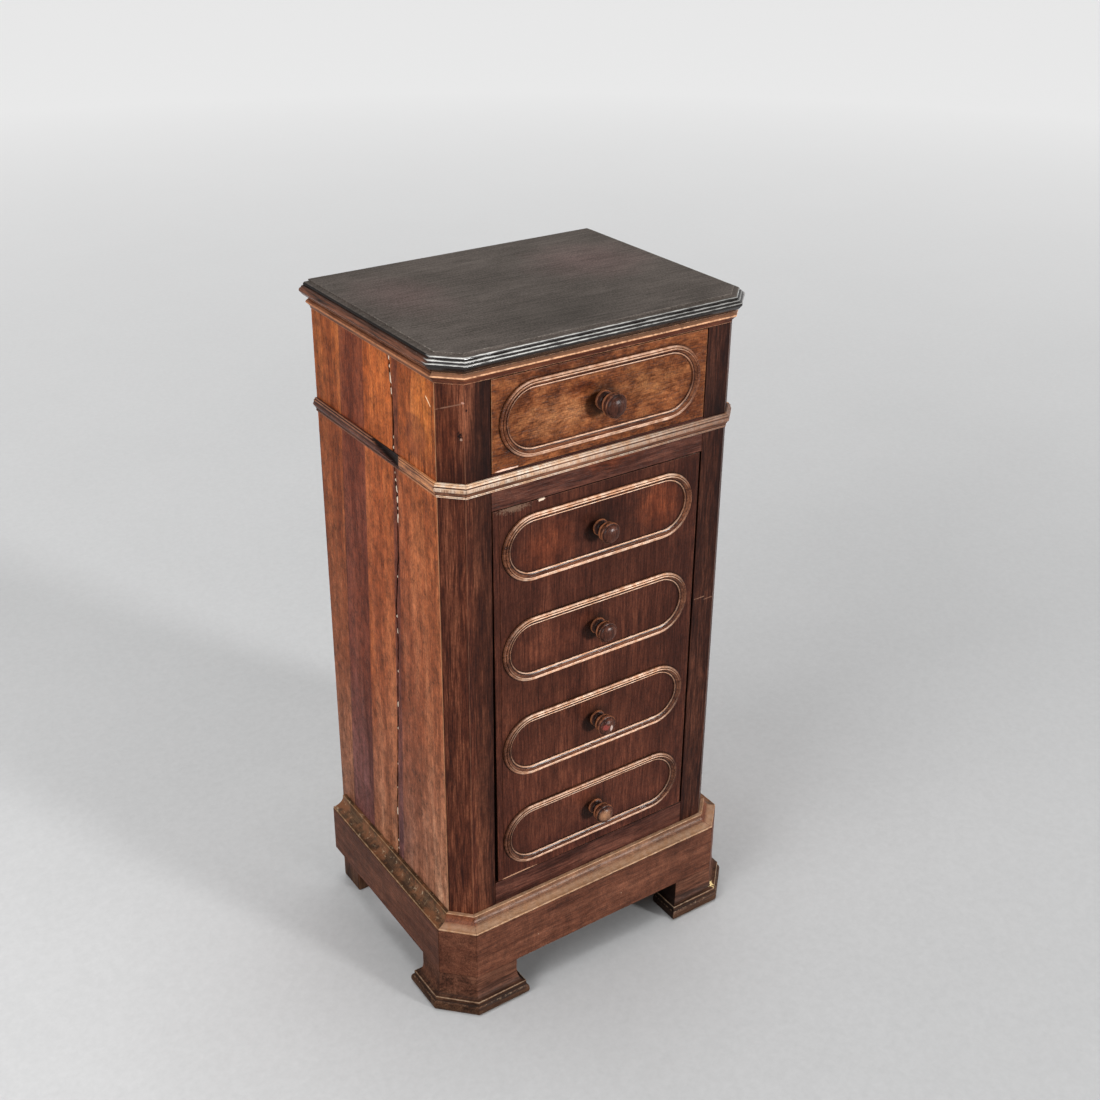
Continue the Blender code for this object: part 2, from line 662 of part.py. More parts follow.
def make_oval(name, x_half, z_half, z_mid, face_depth, finish, carrier):
    """A raised moulding along a stadium: two half rounds joined by straights."""
    half = BEAD_WIDTH / 2
    turn = z_half - half
    reach = x_half - half - turn
    path = []
    for side, start in ((1, -90), (-1, 90)):
        for i in range(OVAL_END_STEPS + 1):
            angle = math.radians(start + 180 * i / OVAL_END_STEPS)
            out = (math.cos(angle), math.sin(angle))
            path.append(((side * reach + turn * out[0], z_mid + turn * out[1]), out))
    profile = bead_profile()
    points = []
    for (x, z), out in path:
        points += [at(x + n * out[0], face_depth - h, z + n * out[1]) for n, h in profile]
    count = len(profile)
    faces = []
    for step in range(len(path)):
        follow = (step + 1) % len(path)
        for i in range(count):
            j = (i + 1) % count
            faces.append((step * count + i, step * count + j, follow * count + j, follow * count + i))
    new_part(name, points, faces, finish, carrier, origin=at(0, face_depth, z_mid), smooth=True)


# Drawer
def make_drawer(carrier):
    middle = (DRAWER_BASE + DRAWER_CROWN) / 2
    front = new_part("drawer_front", *box(-DRAWER_HALF, DRAWER_HALF, 0, FRONT_THICKNESS,
                                          DRAWER_BASE, DRAWER_CROWN), "walnut_figured", carrier)
    groove_low = DRAWER_BASE + DRAWER_BOTTOM_RISE - SEAT
    groove_high = groove_low + DRAWER_BOTTOM_THICKNESS + 2 * SEAT
    inner = DRAWER_HALF - DRAWER_SIDE_THICKNESS
    lap = FRONT_THICKNESS - DRAWER_REBATE
    over = 0.01
    cuts = [box(-inner - SEAT, inner + SEAT, FRONT_THICKNESS - DRAWER_GROOVE - SEAT,
                FRONT_THICKNESS + over, groove_low, groove_high), knob_hole(0, middle, 0)]
    for side in (-1, 1):
        x0, x1 = sorted((side * (inner - SEAT), side * (DRAWER_HALF + over)))
        cuts.append(box(x0, x1, lap, FRONT_THICKNESS + over, DRAWER_BASE - over, DRAWER_CROWN + over))
    combine(front, cuts)

    side_top = DRAWER_BASE + DRAWER_SIDE_HEIGHT
    groove = inner + DRAWER_GROOVE + SEAT
    outline = [(-DRAWER_HALF, DRAWER_BASE), (-inner, DRAWER_BASE), (-inner, groove_low),
               (-groove, groove_low), (-groove, groove_high), (-inner, groove_high),
               (-inner, side_top), (-DRAWER_HALF, side_top)]
    for side, word in ((-1, "left"), (1, "right")):
        ends = [[at(-side * x, depth, z) for x, z in outline] for depth in (lap + SEAT, DRAWER_DEPTH)]
        new_part(f"drawer_side_{word}", *loft(ends), "inner_oak", carrier)

    back_x = inner - SEAT
    bottom_top = groove_low + SEAT + DRAWER_BOTTOM_THICKNESS
    new_part("drawer_back", *box(-back_x, back_x, DRAWER_DEPTH - DRAWER_SIDE_THICKNESS, DRAWER_DEPTH,
                                 bottom_top + SEAT, bottom_top + SEAT + DRAWER_BACK_HEIGHT),
             "inner_oak", carrier)
    bottom_x = inner + DRAWER_GROOVE
    new_part("drawer_bottom", *box(-bottom_x, bottom_x, FRONT_THICKNESS - DRAWER_GROOVE, DRAWER_DEPTH,
                                   groove_low + SEAT, bottom_top), "inner_oak", carrier)
    make_oval("drawer_oval_moulding", DRAWER_HALF - OVAL_SIDE_MARGIN_DRAWER,
              (DRAWER_CROWN - DRAWER_BASE) / 2 - OVAL_END_MARGIN_DRAWER, middle, 0,
              "walnut_front", carrier)
    make_knob("drawer_knob", 0, middle, DRAWER_KNOB_RADIUS, DRAWER_KNOB_LENGTH, 0, "walnut_dark", carrier)


# Door
def false_front_heights():
    """Middles of the false fronts, from the top down, and their half height."""
    space = DOOR_CROWN - DOOR_BASE - 2 * OVAL_END_MARGIN_DOOR - (FALSE_FRONTS - 1) * FALSE_FRONT_GAP
    height = space / FALSE_FRONTS
    first = DOOR_CROWN - OVAL_END_MARGIN_DOOR - height / 2
    return [first - i * (height + FALSE_FRONT_GAP) for i in range(FALSE_FRONTS)], height / 2


def door_slab(start, end):
    """The door between two distances from its slanting left edge; no end goes to the right edge."""
    foot = -HALF_OPENING + DOOR_LATCH_GAP_BOTTOM
    crown = -HALF_OPENING + DOOR_LATCH_GAP_TOP
    outline = [(foot + start, DOOR_BASE), (foot + end if end else DOOR_RIGHT, DOOR_BASE),
               (crown + end if end else DOOR_RIGHT, DOOR_CROWN), (crown + start, DOOR_CROWN)]
    return loft([[at(x, depth, z) for x, z in outline] for depth in (0, DOOR_THICKNESS)])


def make_door(carrier):
    board = new_part("door_board", *door_slab(EDGE_STRIP + SEAT, None), "walnut_front", carrier)
    middles, half_height = false_front_heights()
    knobs = [(across, z + up) for z, (across, up) in zip(middles, cycle(DOOR_KNOB_SHIFTS))]
    cuts = [knob_hole(x, z, 0) for x, z in knobs]
    cuts += [plate_recess(DOOR_CROWN, -1), plate_recess(DOOR_BASE, 1)]
    cuts += [pin_hole(DOOR_CROWN, -1), pin_hole(DOOR_BASE, 1)]
    combine(board, cuts)
    new_part("door_edge_strip", *door_slab(0, EDGE_STRIP), "walnut_front", carrier)
    for number, z in enumerate(middles, start=1):
        make_oval(f"door_oval_moulding_{number}", HALF_OPENING - OVAL_SIDE_MARGIN_DOOR,
                  half_height, z, 0, "walnut_front", carrier)
    for number, (x, z) in enumerate(knobs, start=1):
        make_knob(f"door_knob_{number}", x, z, DOOR_KNOB_RADIUS, DOOR_KNOB_LENGTH, 0,
                  "walnut_dark", carrier)


# Pivot hinges: a plate let into the door's end turns on a pin of a plate in the rail.
# "Way" is +1 where the piece lies above the given height and -1 where it lies below.
def plate_span():
    end = PIVOT_X + PIVOT_IN - 2 * PIN_GAP
    return end - PIVOT_PLATE_LENGTH, end


def plate_box(z, way, grow, thickness):
    x0, x1 = plate_span()
    low, high = sorted((z, z + way * thickness))
    half = PIVOT_PLATE_WIDTH / 2
    return (x0 - grow, x1 + grow, PIVOT_BACK - half - grow, PIVOT_BACK + half + grow, low, high)


def plate_recess(z, way):
    x0, x1, depth0, depth1, low, high = plate_box(z, way, SEAT, PIVOT_PLATE_THICKNESS + SEAT)
    over = 0.004
    return box(x0, x1, depth0, depth1, low - (over if way > 0 else 0), high + (over if way < 0 else 0))


def round_bar(z0, z1, radius, sides=16):
    ring = [2 * math.pi * i / sides for i in range(sides)]
    return loft([[at(PIVOT_X + radius * math.cos(a), PIVOT_BACK + radius * math.sin(a), z) for a in ring]
                 for z in (z0, z1)])


def pin_hole(z, way):
    reach = z + way * (PIVOT_PIN_LENGTH + SEAT)
    return round_bar(min(z, reach), max(z, reach), PIVOT_PIN_RADIUS + PIN_GAP)


def make_pivots(carcass, door):
    for word, rail_z, door_z, way in (("top", DOOR_HEAD, DOOR_CROWN, 1),
                                      ("bottom", DOOR_FLOOR, DOOR_BASE, -1)):
        plate = box(*plate_box(rail_z, way, 0, PIVOT_PLATE_THICKNESS))
        frame_plate = new_part(f"frame_pivot_{word}", *plate, "iron", carcass)
        inside = rail_z + way * PIVOT_PLATE_THICKNESS / 2
        tip = door_z - way * PIVOT_PIN_LENGTH
        collar = door_z + way * SEAT
        combine(frame_plate, [round_bar(min(inside, tip), max(inside, tip), PIVOT_PIN_RADIUS),
                              round_bar(min(inside, collar), max(inside, collar), PIVOT_COLLAR_RADIUS)],
                "UNION")
        plate = box(*plate_box(door_z, -way, 0, PIVOT_PLATE_THICKNESS))
        door_plate = new_part(f"door_pivot_{word}", *plate, "iron", door)
        combine(door_plate, [round_bar(door_z - 0.01, door_z + 0.01, PIVOT_PIN_RADIUS + PIN_GAP)])


def build():
    clear_scene()
    carcass = new_carrier("carcass", Vector((0, 0, 0)))
    drawer = new_carrier("drawer", at(0, 0, DRAWER_FLOOR), carcass)
    door = new_carrier("door", at(PIVOT_X, PIVOT_BACK, DOOR_FLOOR), carcass)
    make_posts(carcass)
    make_sides(carcass)
    make_back(carcass)
    make_level_board("bottom_board", DOOR_FLOOR, carcass)
    make_level_board("dust_board", DRAWER_FLOOR, carcass)
    make_rails(carcass)
    make_drawer_guides(carcass)
    make_door_stop(carcass)
    make_top(carcass)
    make_under_moulding(carcass)
    make_waist_moulding(carcass)
    make_plinth(carcass)
    make_front_feet(carcass)
    make_back_feet(carcass)
    make_drawer(drawer)
    make_door(door)
    make_pivots(carcass, door)


build()
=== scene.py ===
import json
import math
from math import cos, radians, sin

import bmesh
import bpy
from mathutils import Matrix, Vector, noise

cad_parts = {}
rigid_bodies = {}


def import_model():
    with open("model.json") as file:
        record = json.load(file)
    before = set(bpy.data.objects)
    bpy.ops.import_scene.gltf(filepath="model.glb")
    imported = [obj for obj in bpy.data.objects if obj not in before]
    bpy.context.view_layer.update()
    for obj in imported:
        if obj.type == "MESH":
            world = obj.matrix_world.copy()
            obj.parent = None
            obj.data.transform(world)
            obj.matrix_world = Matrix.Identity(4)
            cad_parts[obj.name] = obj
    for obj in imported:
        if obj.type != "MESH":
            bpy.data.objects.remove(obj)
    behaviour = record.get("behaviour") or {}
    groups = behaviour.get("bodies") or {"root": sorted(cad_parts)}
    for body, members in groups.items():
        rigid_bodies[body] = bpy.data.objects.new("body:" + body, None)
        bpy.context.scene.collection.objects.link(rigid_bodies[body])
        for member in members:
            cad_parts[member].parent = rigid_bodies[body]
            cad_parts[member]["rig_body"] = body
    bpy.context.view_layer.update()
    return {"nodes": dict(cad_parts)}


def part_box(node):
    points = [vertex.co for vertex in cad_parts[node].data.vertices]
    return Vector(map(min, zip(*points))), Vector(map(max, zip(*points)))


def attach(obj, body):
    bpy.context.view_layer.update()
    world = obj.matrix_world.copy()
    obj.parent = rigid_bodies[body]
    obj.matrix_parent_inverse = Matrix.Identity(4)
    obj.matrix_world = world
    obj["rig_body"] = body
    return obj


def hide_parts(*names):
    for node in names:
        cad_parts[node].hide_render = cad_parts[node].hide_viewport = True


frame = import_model()
print("frame loaded:", len(frame["nodes"]), "nodes")

body = {
    "half": 0.185,            # half the width
    "depth": 0.284,
    "cant": 0.0205,           # how far the front corners are cut back
    "frontY": -0.1289,        # the posts' front plane
    "plinthBack": 0.276,
    "seam": 0.00015,          # half the gap at a mitre
    "seat": 0.0003,           # gap behind a length of moulding, an oval or a knob
}
mitre = math.tan(radians(22.5))
frontY, seat = body["frontY"], body["seat"]
upward = Vector((0, 0, 1))
forward = Vector((0, -1, 0))


# Outlines: lists of (reach, height) points that are swept along a path
def arcPoints(centre, radius, start, end, steps=9, stretch=1.0):
    points = []
    for i in range(steps + 1):
        angle = radians(start + (end - start) * i / steps)
        points.append((centre[0] + radius * cos(angle),
                       centre[1] + stretch * radius * sin(angle)))
    return points


def beadStack(rows, top):
    outline = []
    for radius, reach, drop, start, end in rows:
        outline += arcPoints((reach - radius, top - drop), radius, start, end)
    return outline


def soften(outline, radius, sharp=28):
    # rounds the corners of an outline, as handling does
    eased = [outline[0]]
    for before, here, after in zip(outline, outline[1:], outline[2:]):
        a, p, b = Vector(before), Vector(here), Vector(after)
        back, ahead = a - p, b - p
        turn = math.degrees(math.pi - back.angle(ahead, math.pi))
        if turn < sharp:
            eased.append(here)
            continue
        start = p + back.normalized() * min(radius, back.length * 0.45)
        end = p + ahead.normalized() * min(radius, ahead.length * 0.45)
        for t in (0.0, 0.33, 0.67, 1.0):
            eased.append(tuple(start.lerp(p, t).lerp(p.lerp(end, t), t)))
    eased.append(outline[-1])
    return eased


def dense(outline, gap):
    # adds points so that none are further apart than the gap
    points = [outline[0]]
    for a, b in zip(outline, outline[1:]):
        length = math.dist(a, b)
        if length < 1e-6:
            continue
        steps = max(1, math.ceil(length / gap))
        for i in range(1, steps + 1):
            points.append((a[0] + (b[0] - a[0]) * i / steps, a[1] + (b[1] - a[1]) * i / steps))
    return points


def outwardNormals(outline):
    area = sum(a[0] * b[1] - b[0] * a[1] for a, b in zip(outline, outline[1:] + outline[:1]))
    way = 1 if area > 0 else -1
    normals = []
    for a, b in zip(outline[:1] + outline, outline[1:] + outline[-1:]):
        across = Vector((b[1] - a[1], a[0] - b[0])) * way
        normals.append(across.normalized() if across.length else Vector((1, 0)))
    return normals


def relief(outline, span):
    # how far each point stands out of the line between its neighbours, -1 to 1
    reached = [0.0]
    for a, b in zip(outline, outline[1:]):
        reached.append(reached[-1] + math.dist(a, b))

    def atLength(length):
        length = min(max(length, 0.0), reached[-1])
        for a, b, start, end in zip(outline, outline[1:], reached, reached[1:]):
            if end >= length:
                return Vector(a).lerp(Vector(b), (length - start) / max(end - start, 1e-9))
        return Vector(outline[-1])

    heights = []
    for point, normal, length in zip(outline, outwardNormals(outline), reached):
        middle = (atLength(length - span) + atLength(length + span)) / 2
        heights.append(max(-1.0, min(1.0, (Vector(point) - middle).dot(normal) / (0.4 * span))))
    return heights


# Paths: lists of (origin, first axis, second axis), one for each station
def planFrame(x, depth, outX, outDepth):
    return (Vector((x, frontY + depth, 0)), Vector((outX, outDepth, 0)), upward)


def mitreFrame(side, atFront, shift=0.0):
    # the mitre at either end of a cant, moved along it by the shift
    turn = radians(67.5)
    half, cant = body["half"], body["cant"]
    if atFront:
        return planFrame(side * (half - cant) - shift * side * sin(turn),
                         -shift * cos(turn), side * mitre, -1)
    return planFrame(side * half - shift * side * cos(turn),
                     cant - shift * sin(turn), side, -mitre)


def spread(frames, step, loop=False):
    # adds stations between the given ones
    stations = []
    pairs = list(zip(frames, frames[1:]))
    if loop:
        pairs.append((frames[-1], frames[0]))
    for a, b in pairs:
        steps = max(1, round((b[0] - a[0]).length / step))
        stations += [tuple(m.lerp(n, i / steps) for m, n in zip(a, b)) for i in range(steps)]
    if not loop:
        stations.append(frames[-1])
    return stations


# Meshes
def dents(point, size, share=0.25):
    # 0 where the surface is whole, up to 1 in a dent
    value = noise.noise(point / size) + 0.4 * noise.noise(point / (size * 0.4))
    return max(0.0, value - share)


def skin(shell, rings, loopPath=False, loopOutline=True):
    # faces between rings of vertices, and over the open ends
    count = len(rings[0])
    pairs = list(zip(rings, rings[1:]))
    if loopPath:
        pairs.append((rings[-1], rings[0]))
    for low, high in pairs:
        for i in range(count if loopOutline else count - 1):
            j = (i + 1) % count
            shell.faces.new((low[i], low[j], high[j], high[i]))
    if not loopPath:
        shell.faces.new(rings[0])
        shell.faces.new(rings[-1])
    elif not loopOutline:
        shell.faces.new([ring[0] for ring in rings])
        shell.faces.new([ring[-1] for ring in rings])


def put(name, data):
    thing = bpy.data.objects.new(name, data)
    bpy.context.scene.collection.objects.link(thing)
    return thing


def addPiece(name, shell, nodes, material, smoothAngle=32):
    bmesh.ops.recalc_face_normals(shell, faces=shell.faces)
    mesh = bpy.data.meshes.new(name)
    shell.to_mesh(mesh)
    shell.free()
    piece = put(name, mesh)
    mesh.materials.append(material)
    mesh.shade_smooth()
    mesh.set_sharp_from_angle(angle=radians(smoothAngle))
    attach(piece, frame["nodes"][nodes[0]]["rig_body"])
    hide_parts(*nodes)


def sweep(name, outline, stations, nodes, material, loopPath=False, loopOutline=True,
          wear=0.0, wearSize=0.007, span=0.0011, shape=None, marks=None):
    # a solid made by carrying an outline along a path, worn a little on its crests
    normals = outwardNormals(outline)
    heights = relief(outline, span)
    shell = bmesh.new()
    crest, hollow, mark = [shell.verts.layers.float.new(word) for word in ("crest", "hollow", "mark")]
    rings = []
    for origin, first, second in stations:
        ring = []
        for (a, b), normal, height in zip(outline, normals, heights):
            point = origin + first * a + second * b
            amount = 0.0
            if shape:
                a, b, amount = shape(a, b, point)
                point = origin + first * a + second * b
            if wear and height > 0.15:
                out = (first * normal[0] + second * normal[1]).normalized()
                point = point - out * wear * height * dents(point, wearSize)
            vertex = shell.verts.new(point)
            vertex[crest] = max(0.0, height)
            vertex[hollow] = max(0.0, -height)
            vertex[mark] = marks(point) if marks else amount
            ring.append(vertex)
        rings.append(ring)
    skin(shell, rings, loopPath, loopOutline)
    bmesh.ops.remove_doubles(shell, verts=shell.verts, dist=2e-6)
    addPiece(name, shell, nodes, material)


# Materials: a number socket that can be used in plain sums
def straight(operation):
    return lambda self, *others: self.work(operation, self, *others)


def swapped(operation):
    return lambda self, other: self.work(operation, other, self)


class Mask:
    __add__, __radd__ = straight("ADD"), swapped("ADD")
    __sub__, __rsub__ = straight("SUBTRACT"), swapped("SUBTRACT")
    __mul__, __rmul__ = straight("MULTIPLY"), swapped("MULTIPLY")
    __truediv__, __rtruediv__ = straight("DIVIDE"), swapped("DIVIDE")
    __abs__, root = straight("ABSOLUTE"), straight("SQRT")
    least, most = straight("MINIMUM"), straight("MAXIMUM")

    def __init__(self, paint, socket):
        self.paint = paint
        self.socket = socket

    def work(self, operation, *terms):
        return self.paint.add("ShaderNodeMath", {"operation": operation}, dict(enumerate(terms)))

    def between(self, low, high):
        # 0 at low, 1 at high, held outside
        return self.paint.add("ShaderNodeMapRange", {"clamp": True},
                              {"Value": self, "From Min": low, "From Max": high})


def triple(value):
    # one number stands for three alike
    return tuple(value) if hasattr(value, "__len__") else (value,) * 3


class Paint:
    def __init__(self, name):
        self.material = bpy.data.materials.new(name)
        self.material.use_nodes = True
        self.tree = self.material.node_tree
        coords = self.add("ShaderNodeTexCoord", {}, {}, "Object")
        self.place = self.vector("SCALE", {0: coords, "Scale": 1000.0})
        self.x, self.y, self.z = self.add("ShaderNodeSeparateXYZ", {}, {0: self.place}, (0, 1, 2))
        self.depth = self.y - frontY * 1000
        self.seed = 0

    def feed(self, inputs, values):
        for key, value in values.items():
            socket = inputs[key]
            if isinstance(value, Mask):
                self.tree.links.new(value.socket, socket)
            elif socket.type == "RGBA":
                socket.default_value = (*value, 1.0)
            else:
                socket.default_value = value

    def add(self, kind, settings, inputs, output=0):
        node = self.tree.nodes.new(kind)
        for key, value in settings.items():
            if key == "stops":
                ramp = node.color_ramp
                while len(ramp.elements) < len(value):
                    ramp.elements.new(0.5)
                for element, (position, colour) in zip(ramp.elements, value):
                    element.position = position
                    element.color = (*triple(colour), 1.0)
            else:
                setattr(node, key, value)
        self.feed(node.inputs, inputs)
        if isinstance(output, tuple):
            return [Mask(self, node.outputs[key]) for key in output]
        return Mask(self, node.outputs[output])

    def vector(self, operation, inputs, output=0):
        return self.add("ShaderNodeVectorMath", {"operation": operation}, inputs, output)

    def moved(self, shift, sizes, place=None):
        # each use looks at another part of the pattern
        self.seed += 1
        return self.add("ShaderNodeMapping", {}, {
            "Vector": place or self.place, "Location": tuple(self.seed * step for step in shift),
            "Scale": tuple(1 / size for size in triple(sizes))})

    def noise(self, sizes, detail=2.0, rough=0.5, place=None, output="Fac"):
        # sizes are the millimetres of one feature along x, y and z
        moved = self.moved((7.3, 3.1, 5.7), sizes, place)
        return self.add("ShaderNodeTexNoise", {"noise_dimensions": "3D"},
                        {"Vector": moved, "Scale": 1.0, "Detail": detail, "Roughness": rough}, output)

    def dots(self, size, limit, fade):
        # scattered round dots; the limit is the share of cells that stay empty
        moved = self.moved((2.9, 8.3, 1.7), size)
        distance, colour = self.add("ShaderNodeTexVoronoi", {}, {"Vector": moved, "Scale": 1.0},
                                    ("Distance", "Color"))
        chance = self.add("ShaderNodeSeparateColor", {}, {0: colour})
        return (0.75 - distance * size).between(0.0, fade) * chance.between(limit, limit + 0.02)

    def ramp(self, value, stops):
        return self.add("ShaderNodeValToRGB", {"stops": stops}, {0: value}, "Color")

    def mix(self, share, first, second, mode="MIX"):
        return self.add("ShaderNodeMix", {"data_type": "RGBA", "blend_type": mode, "clamp_factor": True},
                        {0: share, 6: first, 7: second}, 2)

    def lay(self, share, colour, mode="MIX"):
        # puts a colour over what the paint shows so far
        self.colour = self.mix(share, self.colour, colour, mode)

    def along(self, word):
        # a coordinate by its name; width runs out from the middle to both sides
        return abs(self.x) if word == "width" else {"x": self.x, "depth": self.depth, "z": self.z}[word]

    def facingUp(self):
        normal = self.add("ShaderNodeNewGeometry", {}, {}, "Normal")
        return self.add("ShaderNodeSeparateXYZ", {}, {0: normal}, 2)

    def attribute(self, name):
        return self.add("ShaderNodeAttribute", {"attribute_type": "GEOMETRY", "attribute_name": name},
                        {}, "Fac")

    def blob(self, centre, radii, turn=(0, 0, 0), ragged=0.5, grit=6.0, soft=0.25):
        # a soft patch with a broken edge; centre is (x, depth, z)
        x, depth, z = centre
        local = self.add("ShaderNodeMapping", {"vector_type": "TEXTURE"}, {
            "Vector": self.place, "Location": (x, depth + frontY * 1000, z),
            "Rotation": [radians(angle) for angle in turn], "Scale": radii})
        length = self.vector("LENGTH", {0: local}, "Value")
        return (1 - length + ragged * 2 * (self.noise(grit) - 0.5)).between(0.0, soft)

    def boxEdges(self, node):
        # millimetres to the nearest edge of a box-shaped node
        near = []
        for value, low, high in zip((self.x, self.y, self.z), *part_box(node)):
            middle, half = 500 * (low + high), 500 * (high - low)
            near.append(half - abs(value - middle))
        a, b, c = near
        return a.least(b).most(a.most(b).least(c))

    def finish(self, roughness, height, bump, level, coat=0.0, metallic=0.0):
        normal = self.add("ShaderNodeBump", {}, {"Strength": bump, "Distance": 0.0005, "Height": height},
                          "Normal")
        self.feed(self.tree.nodes["Principled BSDF"].inputs, {
            "Base Color": self.colour, "Roughness": roughness, "Normal": normal, "Metallic": metallic,
            "Specular IOR Level": level, "Coat Weight": coat, "Coat Roughness": 0.06})
        return self.material


class Sky(Paint):
    def __init__(self, world):
        self.tree = world.node_tree


# Parts of a wood's entry
def tint(along, span, wobble, stops, lean=0.0):
    # colours that multiply the wood along one coordinate, from the span's start to its end
    return along, span, wobble, stops, lean


def wear(colour, amount, second=None, sizes=5, ragged=1.2, span=(0.35, 0.8), edge=1.0, **more):
    # bare wood on crests and edges, which on mouldings also stands for a painted highlight; more can hold
    # upward, a painted highlight on faces that look up, and fade
    return dict(colour=colour, second=second or colour, amount=amount, sizes=sizes, ragged=ragged,
                span=span, edge=edge, **more)


def stain(at, size, colour, grit=6.0, ragged=0.5, soft=0.25, amount=1.0, turn=(0, 0, 0), mode="MIX"):
    # a spot or a scratch of its own colour; at is (x, depth, z)
    return (at, size, turn, ragged, grit, soft), colour, amount, mode


def shade(at, size, colour, soft, grit=6.0):
    # a soft place that multiplies the wood's colour
    return stain(at, size, colour, grit, soft=soft, mode="MULTIPLY")


# What every wood has unless its own entry says otherwise
usual = dict(
    sizes=(22, 4.5, 1.3),     # of bands, streaks and fibres, across the grain
    figure=(0.7, 0.6, 0.5),   # strength of bands, streaks and fibres
    sway=14,                  # how far the grain wanders
    long=1.0,                 # length of the bands and streaks
    clouds=0.35,
    grime=(0.9, 0.8),         # strength of blotches and of grit
    rough=(0.32, 0.52),
    bump=0.35,
    level=0.08,               # specular level
    tints=(), patches=(), rings=(), spots=(),
)

# colours are dark, middle and light; arris is (width, amount, colour); specks are (cell, empty share,
# colour) and holes (cell, empty share); patches are (size, low, high, colour, amount); rings of painted
# shade and grime are (node, half its width, fade, amount); the gap shade entry holds the depths where
# the painted shade in the gaps starts, is full, fades and ends, cant the distance from the middle where
# it stops, and the foot end shade entry where a foot's returned end starts, which is painted in shade
woods = {}
woods["post"] = dict(
    grain="z", colours=((0.022, 0.006, 0.004), (0.066, 0.018, 0.009), (0.18, 0.06, 0.03)),
    sizes=(14, 3.0, 1.2), figure=(0.5, 0.5, 0.6), grime=(0.9, 1.1),
    gapShade=(0.4, 1.5, 26, 30), cant=(150, 152), specks=(16, 0.9, (0.5, 0.42, 0.34)),
    arris=(0.6, 0.4, (0.22, 0.1, 0.055)),
    tints=(
        tint("x", (-185, -135), 5, ((0.0, (0.8, 0.75, 0.75)), (0.25, (1.0, 0.98, 0.98)),
                                    (0.42, (1.15, 1.12, 1.1)), (0.6, 0.75), (1.0, (0.42, 0.42, 0.46)))),
        # painted shade: the posts are darker just above the waist moulding and at the top
        tint("z", (640, 800), 20, ((0.0, 1.0), (0.16, (0.45, 0.42, 0.45)), (0.4, 1.0), (0.75, 1.0),
                                   (0.88, (0.6, 0.56, 0.6))))),
    spots=(
        shade((-178, 12, 715), (12, 16, 60), (1.4, 1.3, 1.1), 0.8),
        # painted shade beside the drawer
        shade((-148, 0, 715), (16, 6, 70), (0.65, 0.62, 0.6), 0.8),
        stain((-168, 1.5, 716), (2.0, 5, 4.0), (0.006, 0.003, 0.003), 2.0, 1.2),
        stain((-167, 1.5, 712), (1.1, 4, 1.6), (0.26, 0.16, 0.12), 1.5),
        stain((-162, 0, 742), (1.1, 4, 1.3), (0.01, 0.004, 0.004)),
        stain((-176, 9, 745), (13, 20, 0.7), (0.17, 0.085, 0.055), 4.0, 0.9, amount=0.8, turn=(0, -22, 0)),
        stain((-165.4, 1, 750), (1.6, 4, 1.2), (0.36, 0.18, 0.13), 2.0),
        stain((144, 0, 440), (9, 4, 0.8), (0.28, 0.15, 0.095), 3.0, 0.8, amount=0.5),
        stain((158, 0, 436), (9, 4, 0.8), (0.24, 0.12, 0.075), 3.0, 0.8, amount=0.45)),
)
woods["side"] = dict(
    grain="z", colours=((0.15, 0.034, 0.01), (0.3, 0.08, 0.026), (0.43, 0.14, 0.05)),
    sizes=(24, 4.0, 1.3), figure=(0.7, 0.45, 0.5), grime=(2.2, 1.6), rough=(0.4, 0.58),
    crack=True, holes=(10, 0.86),
    arris=(1.0, 0.8, (0.52, 0.26, 0.13)),
    tints=(
        tint("depth", (20, 284), 1.5,
             ((0.0, (1.3, 1.45, 1.3)), (0.04, (1.05, 1.12, 1.0)), (0.32, (0.88, 0.88, 0.86)),
              (0.33, (0.52, 0.54, 0.8)), (0.368, (0.56, 0.56, 0.8)), (0.374, (1.1, 1.08, 0.86)),
              (0.6, (1.04, 1.0, 0.85)), (0.607, (0.44, 0.38, 0.52)), (0.802, (0.5, 0.45, 0.6)),
              (0.805, (0.3, 0.28, 0.35)), (0.811, (0.88, 0.88, 0.77)), (1.0, (0.68, 0.68, 0.62))),
             lean=0.05),
        tint("z", (60, 780), 60, ((0.0, (0.96, 1.58, 3.2)), (0.4, (0.85, 0.89, 1.25)),
                                  (0.75, (0.9, 0.82, 0.86)), (1.0, (1.16, 1.08, 0.84))))),
    spots=(
        shade((-185, 200, 400), (6, 34, 150), (1.25, 1.2, 0.95), 0.6),
        shade((-185, 44, 728), (6, 28, 52), (1.28, 1.42, 1.25), 0.6),
        shade((-185, 122, 165), (6, 26, 45), (0.7, 0.72, 0.8), 0.6),
        stain((-185, 33.8, 746.5), (3, 7.5, 0.8), (0.8, 0.55, 0.34), 3.0, 0.8, turn=(42, 0, 0)),
        stain((-185, 97.5, 712), (3, 0.5, 34), (0.03, 0.012, 0.008), 3.0, amount=0.6),
        stain((-185, 60, 700), (3, 22, 26), (0.13, 0.035, 0.018), 12.0, amount=0.45)),
)
